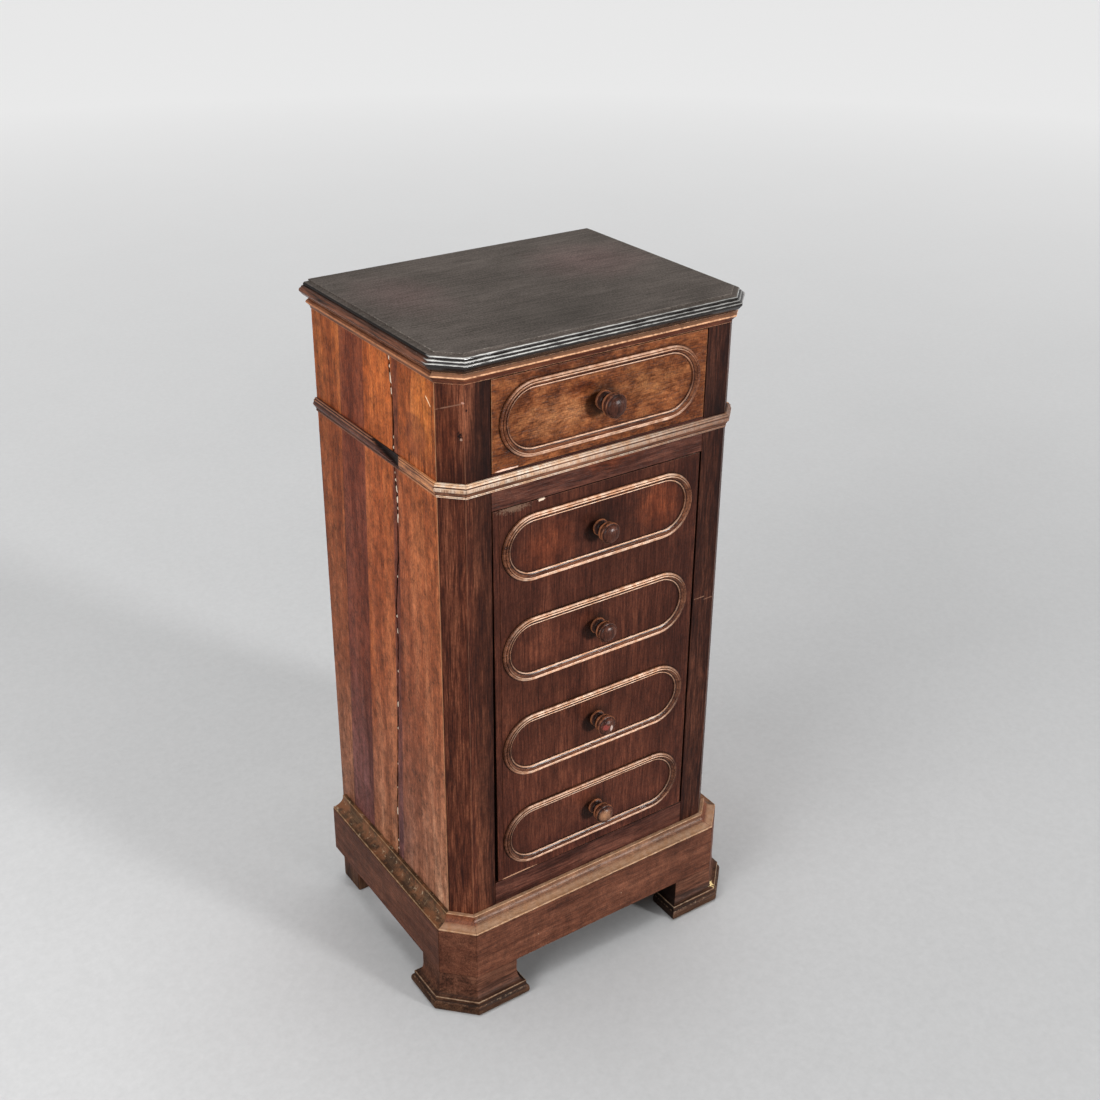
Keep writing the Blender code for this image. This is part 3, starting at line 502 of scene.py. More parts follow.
woods["door"] = dict(
    grain="z", colours=((0.019, 0.005, 0.003), (0.05, 0.014, 0.008), (0.106, 0.033, 0.018)),
    sizes=(26, 3.4, 1.2), figure=(0.35, 0.45, 0.5), clouds=0.5, grime=(0.8, 1.1),
    rough=(0.3, 0.46), gapShade=(0.3, 1.2, 12, 16),
    # rings of painted shade and grime round the ovals and knobs
    rings=tuple((f"door_{word}_{number}", *sizes) for number in (1, 2, 3, 4)
                for word, sizes in (("oval_moulding", (4.75, 3, 0.85)), ("knob", (3.0, 12, 0.7)))),
    tints=(tint("z", (150, 520), 60, ((0.0, 1.35), (0.6, (1.18, 1.18, 1.12)), (1.0, 1.0))),),
    wear=wear((0.26, 0.12, 0.07), 0.35, edge=0.5),
    spots=(
        stain((-108, 0, 624), (20, 4, 5.5), (0.15, 0.09, 0.06), 2.0, 1.2, 0.6, 0.75),
        stain((-75, 0, 625), (5, 4, 1.6), (0.66, 0.5, 0.38), 2.0, 0.9),
        shade((-68, 0, 570), (40, 20, 40), (2.3, 2.0, 1.6), 0.9, 10.0),
        shade((80, 0, 578), (36, 20, 38), (2.6, 2.2, 1.6), 0.9, 10.0),
        # painted shade round the first knob
        shade((10, 0, 588), (50, 20, 60), (0.6, 0.58, 0.6), 0.9, 16.0),
        shade((118, 0, 420), (24, 20, 260), (0.62, 0.6, 0.66), 0.9, 24.0),
        shade((-58, 0, 452), (50, 20, 36), (1.8, 1.8, 1.7), 0.9, 14.0),
        shade((0, 0, 170), (150, 20, 26), (0.55, 0.5, 0.55), 0.9, 20.0),
        stain((-104, 0, 156), (26, 6, 1.3), (0.42, 0.23, 0.14), 4.0, amount=0.8)),
)
woods["rail"] = dict(
    grain="x", colours=((0.02, 0.006, 0.004), (0.055, 0.018, 0.012), (0.115, 0.042, 0.027)),
    sizes=(16, 3.2, 1.2), rough=(0.3, 0.46),
    spots=(shade((14, 0, 645), (44, 12, 11), (2.0, 1.5, 0.95), 0.8, 9.0),),
)
woods["drawer"] = dict(
    grain="x", colours=((0.046, 0.012, 0.004), (0.16, 0.048, 0.016), (0.305, 0.112, 0.04)),
    sizes=(16, 2.6, 1.2), figure=(0.6, 0.45, 0.4), sway=30, long=0.13,
    grime=(1.2, 1.5), rough=(0.26, 0.42), gapShade=(0.8, 2.5, 12, 16),
    # rings of painted shade and grime round the oval and the knob
    rings=(("drawer_oval_moulding", 4.75, 3, 0.85), ("drawer_knob", 3.5, 14, 0.75)),
    wear=wear((0.46, 0.24, 0.13), 0.45, edge=0.7),
    spots=(
        # painted shadow at the lower left of the drawer front
        shade((-100, 0, 684), (34, 20, 14), (0.45, 0.4, 0.42), 0.8, 10.0),
        shade((-62, 0, 712), (46, 20, 24), (1.45, 1.75, 2.0), 0.7, 10.0),
        shade((62, 0, 722), (52, 20, 24), (1.15, 1.3, 1.35), 0.7, 10.0),
        shade((-40, 0, 766), (110, 20, 14), (0.55, 0.5, 0.56), 0.8, 12.0),
        shade((-26, 0, 738), (26, 20, 10), (0.6, 0.5, 0.5), 0.8, 9.0),
        shade((112, 0, 684), (40, 20, 18), (0.55, 0.48, 0.52), 0.8, 12.0),
        stain((-118, 0, 669), (15, 3, 1.3), (0.66, 0.44, 0.34), 4.0)),
)
woods["oval"] = dict(
    grain="x", colours=((0.036, 0.012, 0.007), (0.105, 0.038, 0.02), (0.2, 0.08, 0.042)),
    sizes=(12, 3.5, 1.2), rough=(0.2, 0.32), level=0.15, dirt=(0.95, (0.008, 0.003, 0.002)),
    tints=(tint("z", (200, 720), 30, ((0.0, 0.85), (0.6, 1.0), (1.0, (1.3, 1.2, 1.0)))),),
    # pale crests on the lengths along the top and bottom: worn wood and a painted highlight, faded out at
    # the rounded ends
    wear=wear((0.84, 0.58, 0.42), 0.9, (0.62, 0.32, 0.18), 7, 0.7, (0.45, 0.85),
              fade=("width", (118, 82))),
)
woods["knob"] = dict(
    grain="z", colours=((0.018, 0.006, 0.004), (0.055, 0.018, 0.011), (0.1, 0.036, 0.022)),
    sizes=(9, 3.0, 1.0), rough=(0.22, 0.34), level=0.12, dirt=(0.95, (0.006, 0.002, 0.002)),
    wear=wear((0.44, 0.16, 0.07), 0.6, span=(0.55, 1.05)),
)
woods["under"] = dict(
    grain="x", colours=((0.046, 0.012, 0.007), (0.108, 0.032, 0.016), (0.185, 0.06, 0.028)),
    sizes=(12, 3.0, 1.1), level=0.12, dirt=(0.9, (0.01, 0.004, 0.003)),
    # pale crests and faces that look up: worn wood and a painted highlight
    wear=wear((0.78, 0.43, 0.24), 0.8, span=(0.6, 1.0), upward=(0.3, 0.4, 0.9)),
)
woods["waist"] = dict(
    grain="x", colours=((0.05, 0.018, 0.01), (0.14, 0.055, 0.03), (0.24, 0.105, 0.06)),
    sizes=(12, 3.0, 1.1), level=0.12, dirt=(0.95, (0.008, 0.004, 0.003)),
    # pale crests and faces that look up: worn wood and a painted highlight
    wear=wear((0.78, 0.64, 0.51), 0.92, (0.66, 0.41, 0.25), (0.9, 9, 9), 0.9, (0.2, 0.65),
              upward=(0.9, 0.2, 0.7), fade=("x", (210, -70))),
)
woods["plinth"] = dict(
    grain="x", colours=((0.036, 0.011, 0.006), (0.096, 0.033, 0.018), (0.17, 0.066, 0.037)),
    sizes=(16, 4.0, 1.2), figure=(0.4, 0.35, 0.45), grime=(1.3, 1.2), rough=(0.4, 0.58),
    specks=(15, 0.9, (0.42, 0.3, 0.22)),
    wear=wear((0.34, 0.2, 0.13), 0.6),
)
woods["foot"] = dict(
    grain="x", colours=((0.024, 0.009, 0.005), (0.08, 0.03, 0.017), (0.15, 0.062, 0.036)),
    sizes=(14, 3.5, 1.2), rough=(0.45, 0.65), dirt=(0.8, (0.014, 0.008, 0.006)),
    footEndShade=137.5,
    tints=(tint("z", (0, 40), 8, ((0.0, (0.55, 0.66, 0.6)), (0.4, (0.6, 0.66, 0.6)), (0.65, 1.0))),),
    wear=wear((0.42, 0.3, 0.2), 0.6, (0.24, 0.14, 0.08), 3, 1.8, (0.35, 0.9)),
    spots=(stain((178, -22, 21), (7, 7, 3), (0.66, 0.5, 0.24), 3.0, 1.2),),
)
woods["cove"] = dict(
    grain="x", colours=((0.06, 0.024, 0.012), (0.145, 0.064, 0.034), (0.24, 0.125, 0.07)),
    sizes=(14, 3.5, 1.2), figure=(0.4, 0.3, 0.4), clouds=0.5, grime=(1.5, 1.3),
    rough=(0.34, 0.5), level=0.15,
    tints=(tint("width", (150, 180), 4, ((0.0, 1.0), (0.45, 1.0), (0.55, (1.0, 0.7, 0.6)))),),
    patches=((24, 0.52, 0.68, (0.08, 0.034, 0.016), 0.35),),
    # pale where the hollow looks up: a painted sheen; its crests are worn
    wear=wear((0.56, 0.36, 0.23), 0.8, (0.46, 0.26, 0.14), span=(0.5, 1.0), upward=(0.62, 0.76, 0.98)),
)
woods["inner"] = dict(
    grain="z", colours=((0.17, 0.076, 0.034), (0.285, 0.145, 0.07), (0.37, 0.205, 0.105)),
    sizes=(26, 5.0, 1.3), figure=(0.4, 0.4, 0.5), clouds=0.2, rough=(0.55, 0.75), bump=0.5,
)

# How the lengths of moulding along the sides differ from those at the front
sideChanges = {}
sideChanges["under"] = dict(
    colours=((0.09, 0.03, 0.015), (0.19, 0.07, 0.033), (0.3, 0.12, 0.058)),
    wear=wear((0.52, 0.22, 0.1), 0.6, span=(0.4, 0.9)),
)
sideChanges["waist"] = dict(
    colours=((0.03, 0.01, 0.008), (0.075, 0.026, 0.017), (0.13, 0.05, 0.032)), crack=True,
    wear=wear((0.36, 0.16, 0.085), 0.6, span=(0.45, 0.9)),
    tints=(tint("depth", (20, 284), 6, ((0.0, (8.0, 10.0, 6.5)), (0.26, (6.5, 7.5, 4.5)),
                                        (0.285, 1.0), (1.0, 0.9))),),
)
sideChanges["cove"] = dict(
    colours=((0.034, 0.016, 0.008), (0.078, 0.04, 0.02), (0.14, 0.078, 0.04)), tints=(),
    patches=((22, 0.46, 0.58, (0.2, 0.08, 0.036), 0.75), (7, 0.6, 0.7, (0.42, 0.31, 0.2), 0.8)),
    wear=wear((0.5, 0.32, 0.17), 0.6, (0.26, 0.14, 0.07), span=(0.45, 1.1)),
)

# How single ovals and knobs differ
# a duller mix of wear and painted highlight on the ovals
mutedWearAndHighlight = {**woods["oval"]["wear"], "colour": (0.74, 0.48, 0.34), "second": (0.51, 0.27, 0.16),
             "amount": 0.85}
chippedSpots = (stain((-3, -26, 331), (5, 6, 4), (0.17, 0.035, 0.028), 2.0, 0.9),
                stain((5, -26, 328), (2, 6, 5), (0.4, 0.3, 0.26), 2.0, 1.0),
                stain((-2, -26, 337), (5, 6, 1.6), (0.03, 0.01, 0.008), 2.0))
rubbedSpots = (stain((0, -26, 207), (11, 8, 10), (0.34, 0.17, 0.09), 5.0, soft=0.8, amount=0.8),)

# Colours that every wood shares
shared = {
    "pores": (0.016, 0.007, 0.005),
    # painted shade and grime round ovals and knobs
    "grime": (0.012, 0.005, 0.003),  # round ovals and knobs
    # painted shade in the gaps between parts, and the dark line of the side panel's crack
    "gapShadeAndCrackDark": (0.01, 0.005, 0.004),
    # the holes colour also paints shade on the feet's returned ends
    "holes": (0.008, 0.004, 0.003),  # of worms, and behind the feet's returned ends
    "filler": (0.62, 0.5, 0.39),
}


def grained(paint, look):
    # bands, streaks and fibres along the grain, clouds, tints and pores
    def sizes(across, along):
        return [along if axis == look["grain"] else across for axis in "xyz"]

    sway = paint.noise((75, 75, 120), output="Color")
    sway = paint.vector("MULTIPLY_ADD", {0: sway, 1: triple(look["sway"]), 2: paint.place})
    band, streak, fibre = look["sizes"]
    bands = paint.noise(sizes(band, band * 11 * look["long"]), 2.5, 0.55, sway)
    streaks = paint.noise(sizes(streak, streak * 24 * look["long"]), 3.0, 0.6, sway)
    fibres = paint.noise(sizes(fibre, fibre * 22), 2.0, 0.6)
    strong = look["figure"]
    tone = (bands - 0.5) * strong[0] + (streaks - 0.5) * strong[1] + (fibres - 0.5) * strong[2] + 0.5
    paint.colour = paint.ramp(tone, list(zip((0.34, 0.5, 0.68), look["colours"])))
    clouds = paint.noise((48, 48, 60), 3.0, 0.55).between(0.36, 0.66)
    paint.lay(clouds * look["clouds"], look["colours"][0])
    for word, span, wobble, stops, lean in look["tints"]:
        value = paint.along(word)
        ragged = (paint.noise((30, 30, 90)) - 0.5) * wobble
        if lean:
            value = value + (paint.z - 500) * lean
        paint.lay(1.0, paint.ramp((value + ragged).between(*span), stops), "MULTIPLY")
    pores = paint.noise(sizes(0.8, 9), 1.0).between(0.6, 0.72)
    paint.lay(pores * 0.45, shared["pores"])
    return fibres, pores


def soiledAndShaded(paint, look):
    # darker hollows, patches, painted shade with grime round ovals and knobs, and painted shade
    # in the gaps and on the feet's returned ends
    # darker in the hollows of the outline
    if "dirt" in look:
        amount, colour = look["dirt"]
        paint.lay(paint.attribute("hollow").between(0.1, 0.7) * amount, colour)
    for size, low, high, colour, amount in look["patches"]:
        paint.lay(paint.noise(size, 4.0, 0.65).between(low, high) * amount, colour)
    # painted shade, with some grime, round the ovals and knobs on the face
    for name, half, fade, amount in look["rings"]:
        low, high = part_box(name)
        turn = 500 * (high.z - low.z) - half
        across = (abs(paint.x) - (500 * (high.x - low.x) - half - turn)).most(0.0)
        rise = paint.z - 500 * (low.z + high.z)
        away = abs((across * across + rise * rise).root() - turn)
        grimeAndShade = (1.0 - (away - half) / fade).between(0.0, 1.0) * (1 - paint.depth.between(3, 5))
        paint.lay(grimeAndShade * grimeAndShade * amount, shared["grime"])
    # painted shade in the gaps beside the door, the drawer and the posts
    if "gapShade" in look:
        near, full, fading, gone = look["gapShade"]
        gapShade = paint.depth.between(near, full) * (1 - paint.depth.between(fading, gone))
        if "cant" in look:
            gapShade = gapShade * (1 - abs(paint.x).between(*look["cant"]))
        paint.lay(gapShade * 0.9, shared["gapShadeAndCrackDark"])
    if "footEndShade" in look:
        # painted shade: the returned ends of the feet, which stand in the dark under the plinth, are
        # darkened
        footEndShade = (look["footEndShade"] - abs(paint.x) + paint.depth).between(0.1, 0.8)
        paint.lay(footEndShade * (1 - paint.depth.between(16, 18)) * 0.9, shared["holes"])


def wearAndHighlightShare(paint, worn, node):
    # how bare the wood is on crests and along a board's edges, with a painted highlight on faces that look
    # up
    broken = paint.noise(worn["sizes"], 3.0, 0.6)
    share = (paint.attribute("crest") + (broken - 0.5) * worn["ragged"]).between(*worn["span"])
    # painted highlight: faces that look up are made pale
    if "upward" in worn:
        amount, low, high = worn["upward"]
        upHighlight = paint.facingUp().between(low, high) * (broken * 1.4 + 0.3).least(1.0)
        share = share.most(upHighlight * amount)
    if "fade" in worn:
        word, span = worn["fade"]
        share = share * paint.along(word).between(*span)
    if node:
        share = share.most((worn["edge"] * 2 * broken - paint.boxEdges(node)).between(0.0, 0.7))
    return share


def arrisLines(paint, width):
    # light lines down the upright arrises of a canted post
    half, cant = body["half"] * 1000, body["cant"] * 1000
    nearest = None
    for x, depth in ((half - cant, 0.0), (half, cant)):
        across, behind = abs(paint.x) - x, paint.depth - depth
        away = (across * across + behind * behind).root()
        nearest = nearest.least(away) if nearest else away
    return (width * 2 * paint.noise((3, 3, 22), 3.0, 0.6) - nearest).between(0.0, 0.5)


def makeWood(name, look, node=None):
    look = {**usual, **look}
    paint = Paint(name)
    fibres, pores = grained(paint, look)
    blotch = paint.noise((10, 10, 15), 4.0, 0.65)
    grit = paint.noise((1.6, 1.6, 2.6), 2.0, 0.6)
    strong = look["grime"]
    light = (blotch - 0.5) * strong[0] + (grit - 0.5) * strong[1] + 1
    paint.colour = paint.vector("SCALE", {0: paint.colour, "Scale": light})
    height = fibres * 0.5 - pores * 0.8 + grit * 0.3
    smooth, rough = look["rough"]
    roughness = paint.noise((9, 9, 14), 3.0, 0.6) * (rough - smooth) + smooth
    soiledAndShaded(paint, look)
    if "wear" in look:
        worn = look["wear"]
        share = wearAndHighlightShare(paint, worn, node)
        # the pale colour of bare wood, which on mouldings also stands for a painted highlight
        bareAndHighlight = paint.mix(paint.noise(7).between(0.35, 0.65), worn["colour"], worn["second"])
        paint.lay(share * worn["amount"], bareAndHighlight)
        height = height - share * 0.6
        roughness = roughness + share * 0.12
    if "arris" in look:
        width, amount, colour = look["arris"]
        paint.lay(arrisLines(paint, width) * amount, colour)
    if "specks" in look:
        size, limit, colour = look["specks"]
        paint.lay(paint.dots(size, limit, 0.3), colour)
    if "holes" in look:
        holes = paint.dots(*look["holes"], 0.25)
        paint.lay(holes, shared["holes"])
        height = height - holes * 2
    for patch, colour, amount, mode in look["spots"]:
        paint.lay(paint.blob(*patch) * amount, colour, mode)
    if "crack" in look:
        mark = paint.attribute("mark")
        paint.lay(mark.between(0.15, 0.6), shared["gapShadeAndCrackDark"])
        paint.lay(mark.between(1.2, 1.6), shared["filler"])
    return paint.finish(roughness, height, look["bump"], look["level"])


ebonised = {
    "colours": ((0.3, (0.034, 0.028, 0.023)), (0.5, (0.069, 0.057, 0.049)), (0.72, (0.112, 0.093, 0.081))),
    # a painted sheen: darker at the front, lighter towards the back
    "clouds": (((-20, 45, 800), (110, 60, 30), (0.66, 0.67, 0.66)),
               ((110, 180, 800), (90, 80, 30), (1.45, 1.22, 1.28)),
               ((-130, 180, 800), (60, 90, 30), (1.25, 1.08, 1.12))),
    "edge": (0.01, 0.008, 0.007),
    "worn": (0.42, 0.38, 0.33),
    "rubbed": (0.3, 0.27, 0.24),
    "bared": (0.19, 0.073, 0.041),
    "lip": 797.0,             # the sides are bared to brown wood below this height
    "highlightSilver": (0.58, 0.57, 0.54),
    # the heights below are those of painted highlight lines on the front beads
    "highlightLines": (797.0, 793.9, 791.4),  # heights of the bright lines on the front beads
}


def makeEbonised(name):
    paint = Paint(name)
    broad = paint.noise((70, 45, 45), 3.0, 0.6)
    grain = paint.noise((60, 2.6, 2.6), 3.0, 0.6)
    grit = paint.noise(1.9, 3.0, 0.7)
    tone = (broad - 0.5) * 0.4 + (grain - 0.5) * 0.6 + (grit - 0.5) * 1.1 + 0.5
    paint.colour = paint.ramp(tone, ebonised["colours"])
    # painted sheen: the top darker at the front and lighter towards the back
    for centre, radii, cloud in ebonised["clouds"]:
        paint.lay(paint.blob(centre, radii, ragged=0.3, grit=30.0, soft=0.9), cloud, "MULTIPLY")
    crest, edge = paint.attribute("crest"), paint.attribute("mark")
    paint.lay(edge, ebonised["edge"])
    broken = paint.noise(3, 3.0, 0.65)
    corner = ((paint.x + 190) * (paint.x + 190) + paint.depth * paint.depth).root()
    near = 1 - corner.between(20, 190)
    worn = (crest + (broken - 0.5) * 2.0).between(1.05, 1.25) * (near * 0.8 + 0.2)
    paint.lay(worn * 0.45, ebonised["worn"])
    rubbed = (crest * (1 - edge)).between(0.3, 0.8) * broken.between(0.35, 0.6)
    paint.lay(rubbed * 0.12, ebonised["rubbed"])
    polished = 1 - paint.depth.between(14, 26)
    streaky = paint.noise((5, 40, 2), 4.0, 0.6)
    bared = (ebonised["lip"] - paint.z).between(1.5, 4.5) * (1 - polished) * edge
    paint.lay(bared * streaky.between(0.3, 0.66), ebonised["bared"])
    # painted highlights: pale lines along the front beads, fainter towards the right
    highlightLines = None
    for level in ebonised["highlightLines"]:
        line = 1 - abs(paint.z - level) / 0.7
        highlightLines = highlightLines.most(line) if highlightLines else line
    ragged = (paint.noise((12, 12, 2), 4.0, 0.65) - 0.5) * 2.0
    paintedHighlights = (highlightLines + ragged).between(0.25, 0.9) * edge * polished
    paint.lay(paintedHighlights * (0.95 - paint.x.between(-160, 170) * 0.55), ebonised["highlightSilver"])
    roughness = (1 - edge * 0.62) * 0.6 + (grit - 0.5) * 0.12
    return paint.finish(roughness, grain * 0.4 + grit * 0.06, 0.25, 0.06, coat=edge * polished * 0.5)


def makeIron(name):
    paint = Paint(name)
    rust = paint.noise(3, 3.0, 0.6)
    paint.colour = paint.ramp(rust, ((0.35, (0.19, 0.17, 0.155)), (0.6, (0.14, 0.075, 0.045))))
    return paint.finish(rust * 0.4 + 0.3, rust, 0.3, 0.5, metallic=1 - rust.between(0.5, 0.62))


def makeFloor(name):
    paint = Paint(name)
    cloud = paint.noise(420, 4.0, 0.6)
    grit = paint.noise(9, 3.0, 0.7)
    tone = (cloud - 0.5) * 0.15 + (grit - 0.5) * 0.25 + 0.5
    paint.colour = paint.ramp(tone, ((0.35, (0.44, 0.443, 0.446)), (0.65, (0.55, 0.553, 0.556))))
    far = (paint.x * paint.x + paint.y * paint.y).root().between(500, 5500)
    paint.lay(far, (0.86, 0.86, 0.86))
    return paint.finish(0.95, grit, 0.2, 0.0)


# Mouldings; a bead is (radius, reach, drop from the top, first angle, last angle)
mouldings = {
    "topBeads": ((0.0024, 0.0058, 0.0046, 100, -30), (0.0018, 0.0085, 0.0073, 122, -8),
                 (0.0026, 0.0113, 0.0101, 92, -50)),
    "waistBeads": ((0.0009, 0.0029, 0.0009, 90, -25), (0.0011, 0.0043, 0.0028, 75, -30),
                   (0.0027, 0.0053, 0.0068, 52, -58)),
    "top": (0.7808, 0.8),  # foot and top of each
    "under": (0.7688, 0.7805),
    "waist": (0.6492, 0.665),
    "cove": (0.1103, 0.1245),
    "step": 0.006,            # between stations along a run
    "gap": 0.0006,            # between points of an outline
    "overhang": 0.004,        # of the top, behind
    "flatEnd": 0.7975,        # height where the flat of the top gives way to its beads
}
foot = {
    "reach": 0.038,           # how far it stands out of the body
    "long": 0.0855,           # along the front
    "back": 0.07,             # along the side
    "thick": 0.011,
}


def topOutline():
    low, height = mouldings["top"]
    lip = -0.0008
    outline = [(-0.012, height), (lip, height), (lip, height - 0.0022)]
    outline += beadStack(mouldings["topBeads"], height)
    reach, z = outline[-1]
    outline += [((reach + 0.0033) / 2 + 0.0006, (z + low) / 2), (0.0033, low), (-0.004, low)]
    return dense(soften(outline, 0.0005), mouldings["gap"])


def underOutline():
    low, top = mouldings["under"]
    filletTop, fillet = top - 0.003, top - 0.0043
    start, rise = 0.0009, 0.0052
    outline = [(seat, low), (start, low)]
    for i in range(11):
        share = i / 10
        outline.append((start + rise * share ** 1.6, low + start + (fillet - low - start) * share))
    outline += [(start + rise, filletTop), (0.00435, filletTop + 0.0015), (0.0026, filletTop + 0.00225),
                (0.0026, top), (seat, top)]
    return dense(soften(outline, 0.0004), mouldings["gap"])


def waistOutline():
    low, top = mouldings["waist"]
    outline = [(seat, top)] + beadStack(mouldings["waistBeads"], top)
    reach, z = outline[-1]
    fillet, out = low + 0.002, 0.0019
    outline += [((reach + out) / 2 - 0.0004, (z + fillet) / 2), (0.00133, fillet), (out, fillet),
                (out, low), (seat, low)]
    return dense(soften(outline, 0.0003), mouldings["gap"])


def coveOutline():
    low, top = mouldings["cove"]
    reach, step, upper = 0.0186, 0.002, 0.0046
    fillet = top - 0.0024
    width = reach - 0.0012 - upper
    height = fillet - low - step
    outline = [(seat, low), (reach, low), (reach, low + step)]
    outline += arcPoints((reach - 0.0012, fillet), width, 270, 180, 14, height / width)
    outline += [(upper, top), (seat, top)]
    return dense(soften(outline, 0.0005), mouldings["gap"])


def footOutline():
    reach, neck = 0.027, 0.0245
    outline = [(0.019, 0.048)] + arcPoints((neck, 0.034), 0.0055, 180, 250, 10, 0.0155 / 0.0055)
    outline += [(neck, 0.0185), (reach, 0.0181), (reach, 0.0134)]
    outline += arcPoints((reach, 0.0065), 0.00305, 80, -80, 12, 0.0065 / 0.00305)
    outline += [(reach, 0.0)]
    return dense(soften(outline, 0.0006), mouldings["gap"] * 1.5)


def runStations(back, which, joined=False):
    # stations of one length of moulding; the front can be joined to both cants
    half, seam = body["half"], body["seam"]
    keys = {
        "left": [planFrame(-half, back, -1, 0), mitreFrame(-1, False, -seam)],
        "cant_left": [mitreFrame(-1, False, seam), mitreFrame(-1, True, -seam)],
        "front": [mitreFrame(-1, True, seam), mitreFrame(1, True, seam)],
        "cant_right": [mitreFrame(1, False, seam), mitreFrame(1, True, -seam)],
        "right": [planFrame(half, back, 1, 0), mitreFrame(1, False, -seam)],
    }
    if joined:
        keys["front"] = [mitreFrame(-1, False, seam), mitreFrame(-1, True), mitreFrame(1, True),
                         mitreFrame(1, False, seam)]
    return spread(keys[which], mouldings["step"])


# The left length of the waist moulding has lost its reeds
lostReeds = {
    "flat": 21,               # millimetres behind the front from where they are worn flat
    "gone": (96, 158),        # and between where they have broken away
    "flatReach": 0.0034,
    "goneReach": 0.0006,
    "low": 0.6535,            # height of the break at its front end
    "rise": 0.0125,           # and how much higher it ends
}


def brokenWaist(reach, z, point):
    depth = (point.y - frontY) * 1000
    ragged = noise.noise(point * 180) * 1.6
    start, end = lostReeds["gone"]
    if start < depth + ragged < end:
        line = lostReeds["low"] + (depth - 98) / 60 * lostReeds["rise"] + ragged * 0.0006
        if z > line:
            return min(reach, lostReeds["goneReach"]), z, 1.0
    elif lostReeds["flat"] < depth < start:
        flat = lostReeds["flatReach"] + 0.0004 * noise.noise(point * 120)
        return min(reach, flat), z, 0.0
    return reach, z, 0.0


def topEdge(point):
    # marks the beads, which are blacker than the flat of the top
    return 1.0 if point.z < mouldings["flatEnd"] else 0.0


def makeTop():
    half, back = body["half"], body["depth"] + mouldings["overhang"]
    keys = [planFrame(-half, back, -1, 0), mitreFrame(-1, False), mitreFrame(-1, True),
            mitreFrame(1, True), mitreFrame(1, False), planFrame(half, back, 1, 0)]
    sweep("top", topOutline(), spread(keys, mouldings["step"], loop=True), ["top_board"],
          makeEbonised("ebonised top"), loopPath=True, loopOutline=False, wear=0.0004, wearSize=0.016,
          marks=topEdge)


def makeMouldings():
    words = ("under", "waist", "cove")
    front = {word: makeWood(word + " front run", woods[word]) for word in words}
    side = {word: makeWood(word + " side run", {**woods[word], "grain": "y", **sideChanges[word]})
            for word in words}
    for which in ("left", "front", "right"):
        finish = front if which == "front" else side
        sweep("underMoulding." + which, underOutline(), runStations(body["depth"], which, joined=True),
              ["under_moulding_" + which], finish["under"], wear=0.0004)
    for which in ("left", "cant_left", "front", "cant_right", "right"):
        finish = side if which in ("left", "right") else front
        sweep("waistMoulding." + which, waistOutline(), runStations(body["depth"], which),
              ["waist_moulding_" + which], finish["waist"], wear=0.0004, span=0.0008,
              shape=brokenWaist if which == "left" else None)
        sweep("cove." + which, coveOutline(), runStations(body["plinthBack"], which),
              ["plinth_cove_" + which], finish["cove"], wear=0.0006)


def makeFeet():
    half, thick = body["half"], foot["thick"]
    endX = half + foot["reach"] - foot["long"]
    endDepth = -foot["reach"] + foot["back"]
    innerX = half - thick
    finish = makeWood("front foot", woods["foot"])
    for side, word in ((-1, "left"), (1, "right")):
        keys = [planFrame(side * innerX, endDepth, 0, 1), planFrame(side * half, endDepth, side, 1),
                mitreFrame(side, False), mitreFrame(side, True), planFrame(side * endX, 0, -side, -1),
                planFrame(side * endX, thick, -side, 0), planFrame(side * innerX, thick, 0, 0)]
        sweep("frontFoot." + word, footOutline(), spread(keys, 0.005, loop=True), ["front_foot_" + word],
              finish, loopPath=True, loopOutline=False, wear=0.0007)


# Oval mouldings and knobs
oval = {"width": 0.0095, "height": 0.0042}


def ovalOutline():
    width, height = oval["width"], oval["height"]
    outline = [(0.5 * width, seat), (0.5 * width, 0.3 * height)]
    outline += arcPoints((0.34 * width, 0.43 * height), 0.155 * width, 15, 160, 8)
    outline += arcPoints((0.11 * width, 0.83 * height), 0.072 * width, 0, 180, 6)
    outline += [(-0.07 * width, 0.6 * height), (-0.19 * width, 0.37 * height), (-0.3 * width, 0.26 * height)]
    outline += arcPoints((-0.4 * width, 0.24 * height), 0.08 * width, 30, 160, 5)
    outline += [(-0.5 * width, 0.19 * height), (-0.5 * width, seat)]
    return dense(outline, 0.0005)


def makeOval(name, node, material):
    low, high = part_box(node)
    middle = (low + high) / 2
    half = oval["width"] / 2
    turn = (high.z - low.z) / 2 - half
    reach = (high.x - low.x) / 2 - half - turn
    keys = []
    for side, start in ((1, -90), (-1, 90)):
        for i in range(33):
            angle = radians(start + 180 * i / 32)
            out = Vector((cos(angle), 0, sin(angle)))
            centre = Vector((middle.x + side * reach, frontY, middle.z))
            keys.append((centre + out * turn, out, forward))
    sweep(name, ovalOutline(), spread(keys, 0.006, loop=True), [node], material, loopPath=True,
          wear=0.0004, wearSize=0.006, span=0.0009)


def knobOutline(radius, length):
    # (distance from the face, radius), rounded between the turner's points
    base, neck, bulb, ring = 0.76 * radius, 0.46 * radius, 0.56 * radius, 0.88 * radius
    marks = [(seat, base), (0.09 * length, base), (0.14 * length, 0.72 * base), (0.22 * length, neck),
             (0.31 * length, bulb), (0.39 * length, neck), (0.44 * length, ring * 0.94),
             (0.49 * length, ring), (0.54 * length, ring * 0.94), (0.58 * length, 0.62 * radius),
             (0.63 * length, 0.93 * radius), (0.71 * length, radius), (0.79 * length, 0.95 * radius),
             (0.81 * length, 0.84 * radius)]
    marks += [(length * (0.81 + 0.19 * sin(radians(a))), 0.84 * radius * cos(radians(a)))
              for a in (20, 40, 60, 78)]
    shank = 0.004
    return ([(-0.012, shank), (seat, shank)] + dense(soften(marks, 0.0012, sharp=16), 0.0007)
            + [(length, 0.0)])


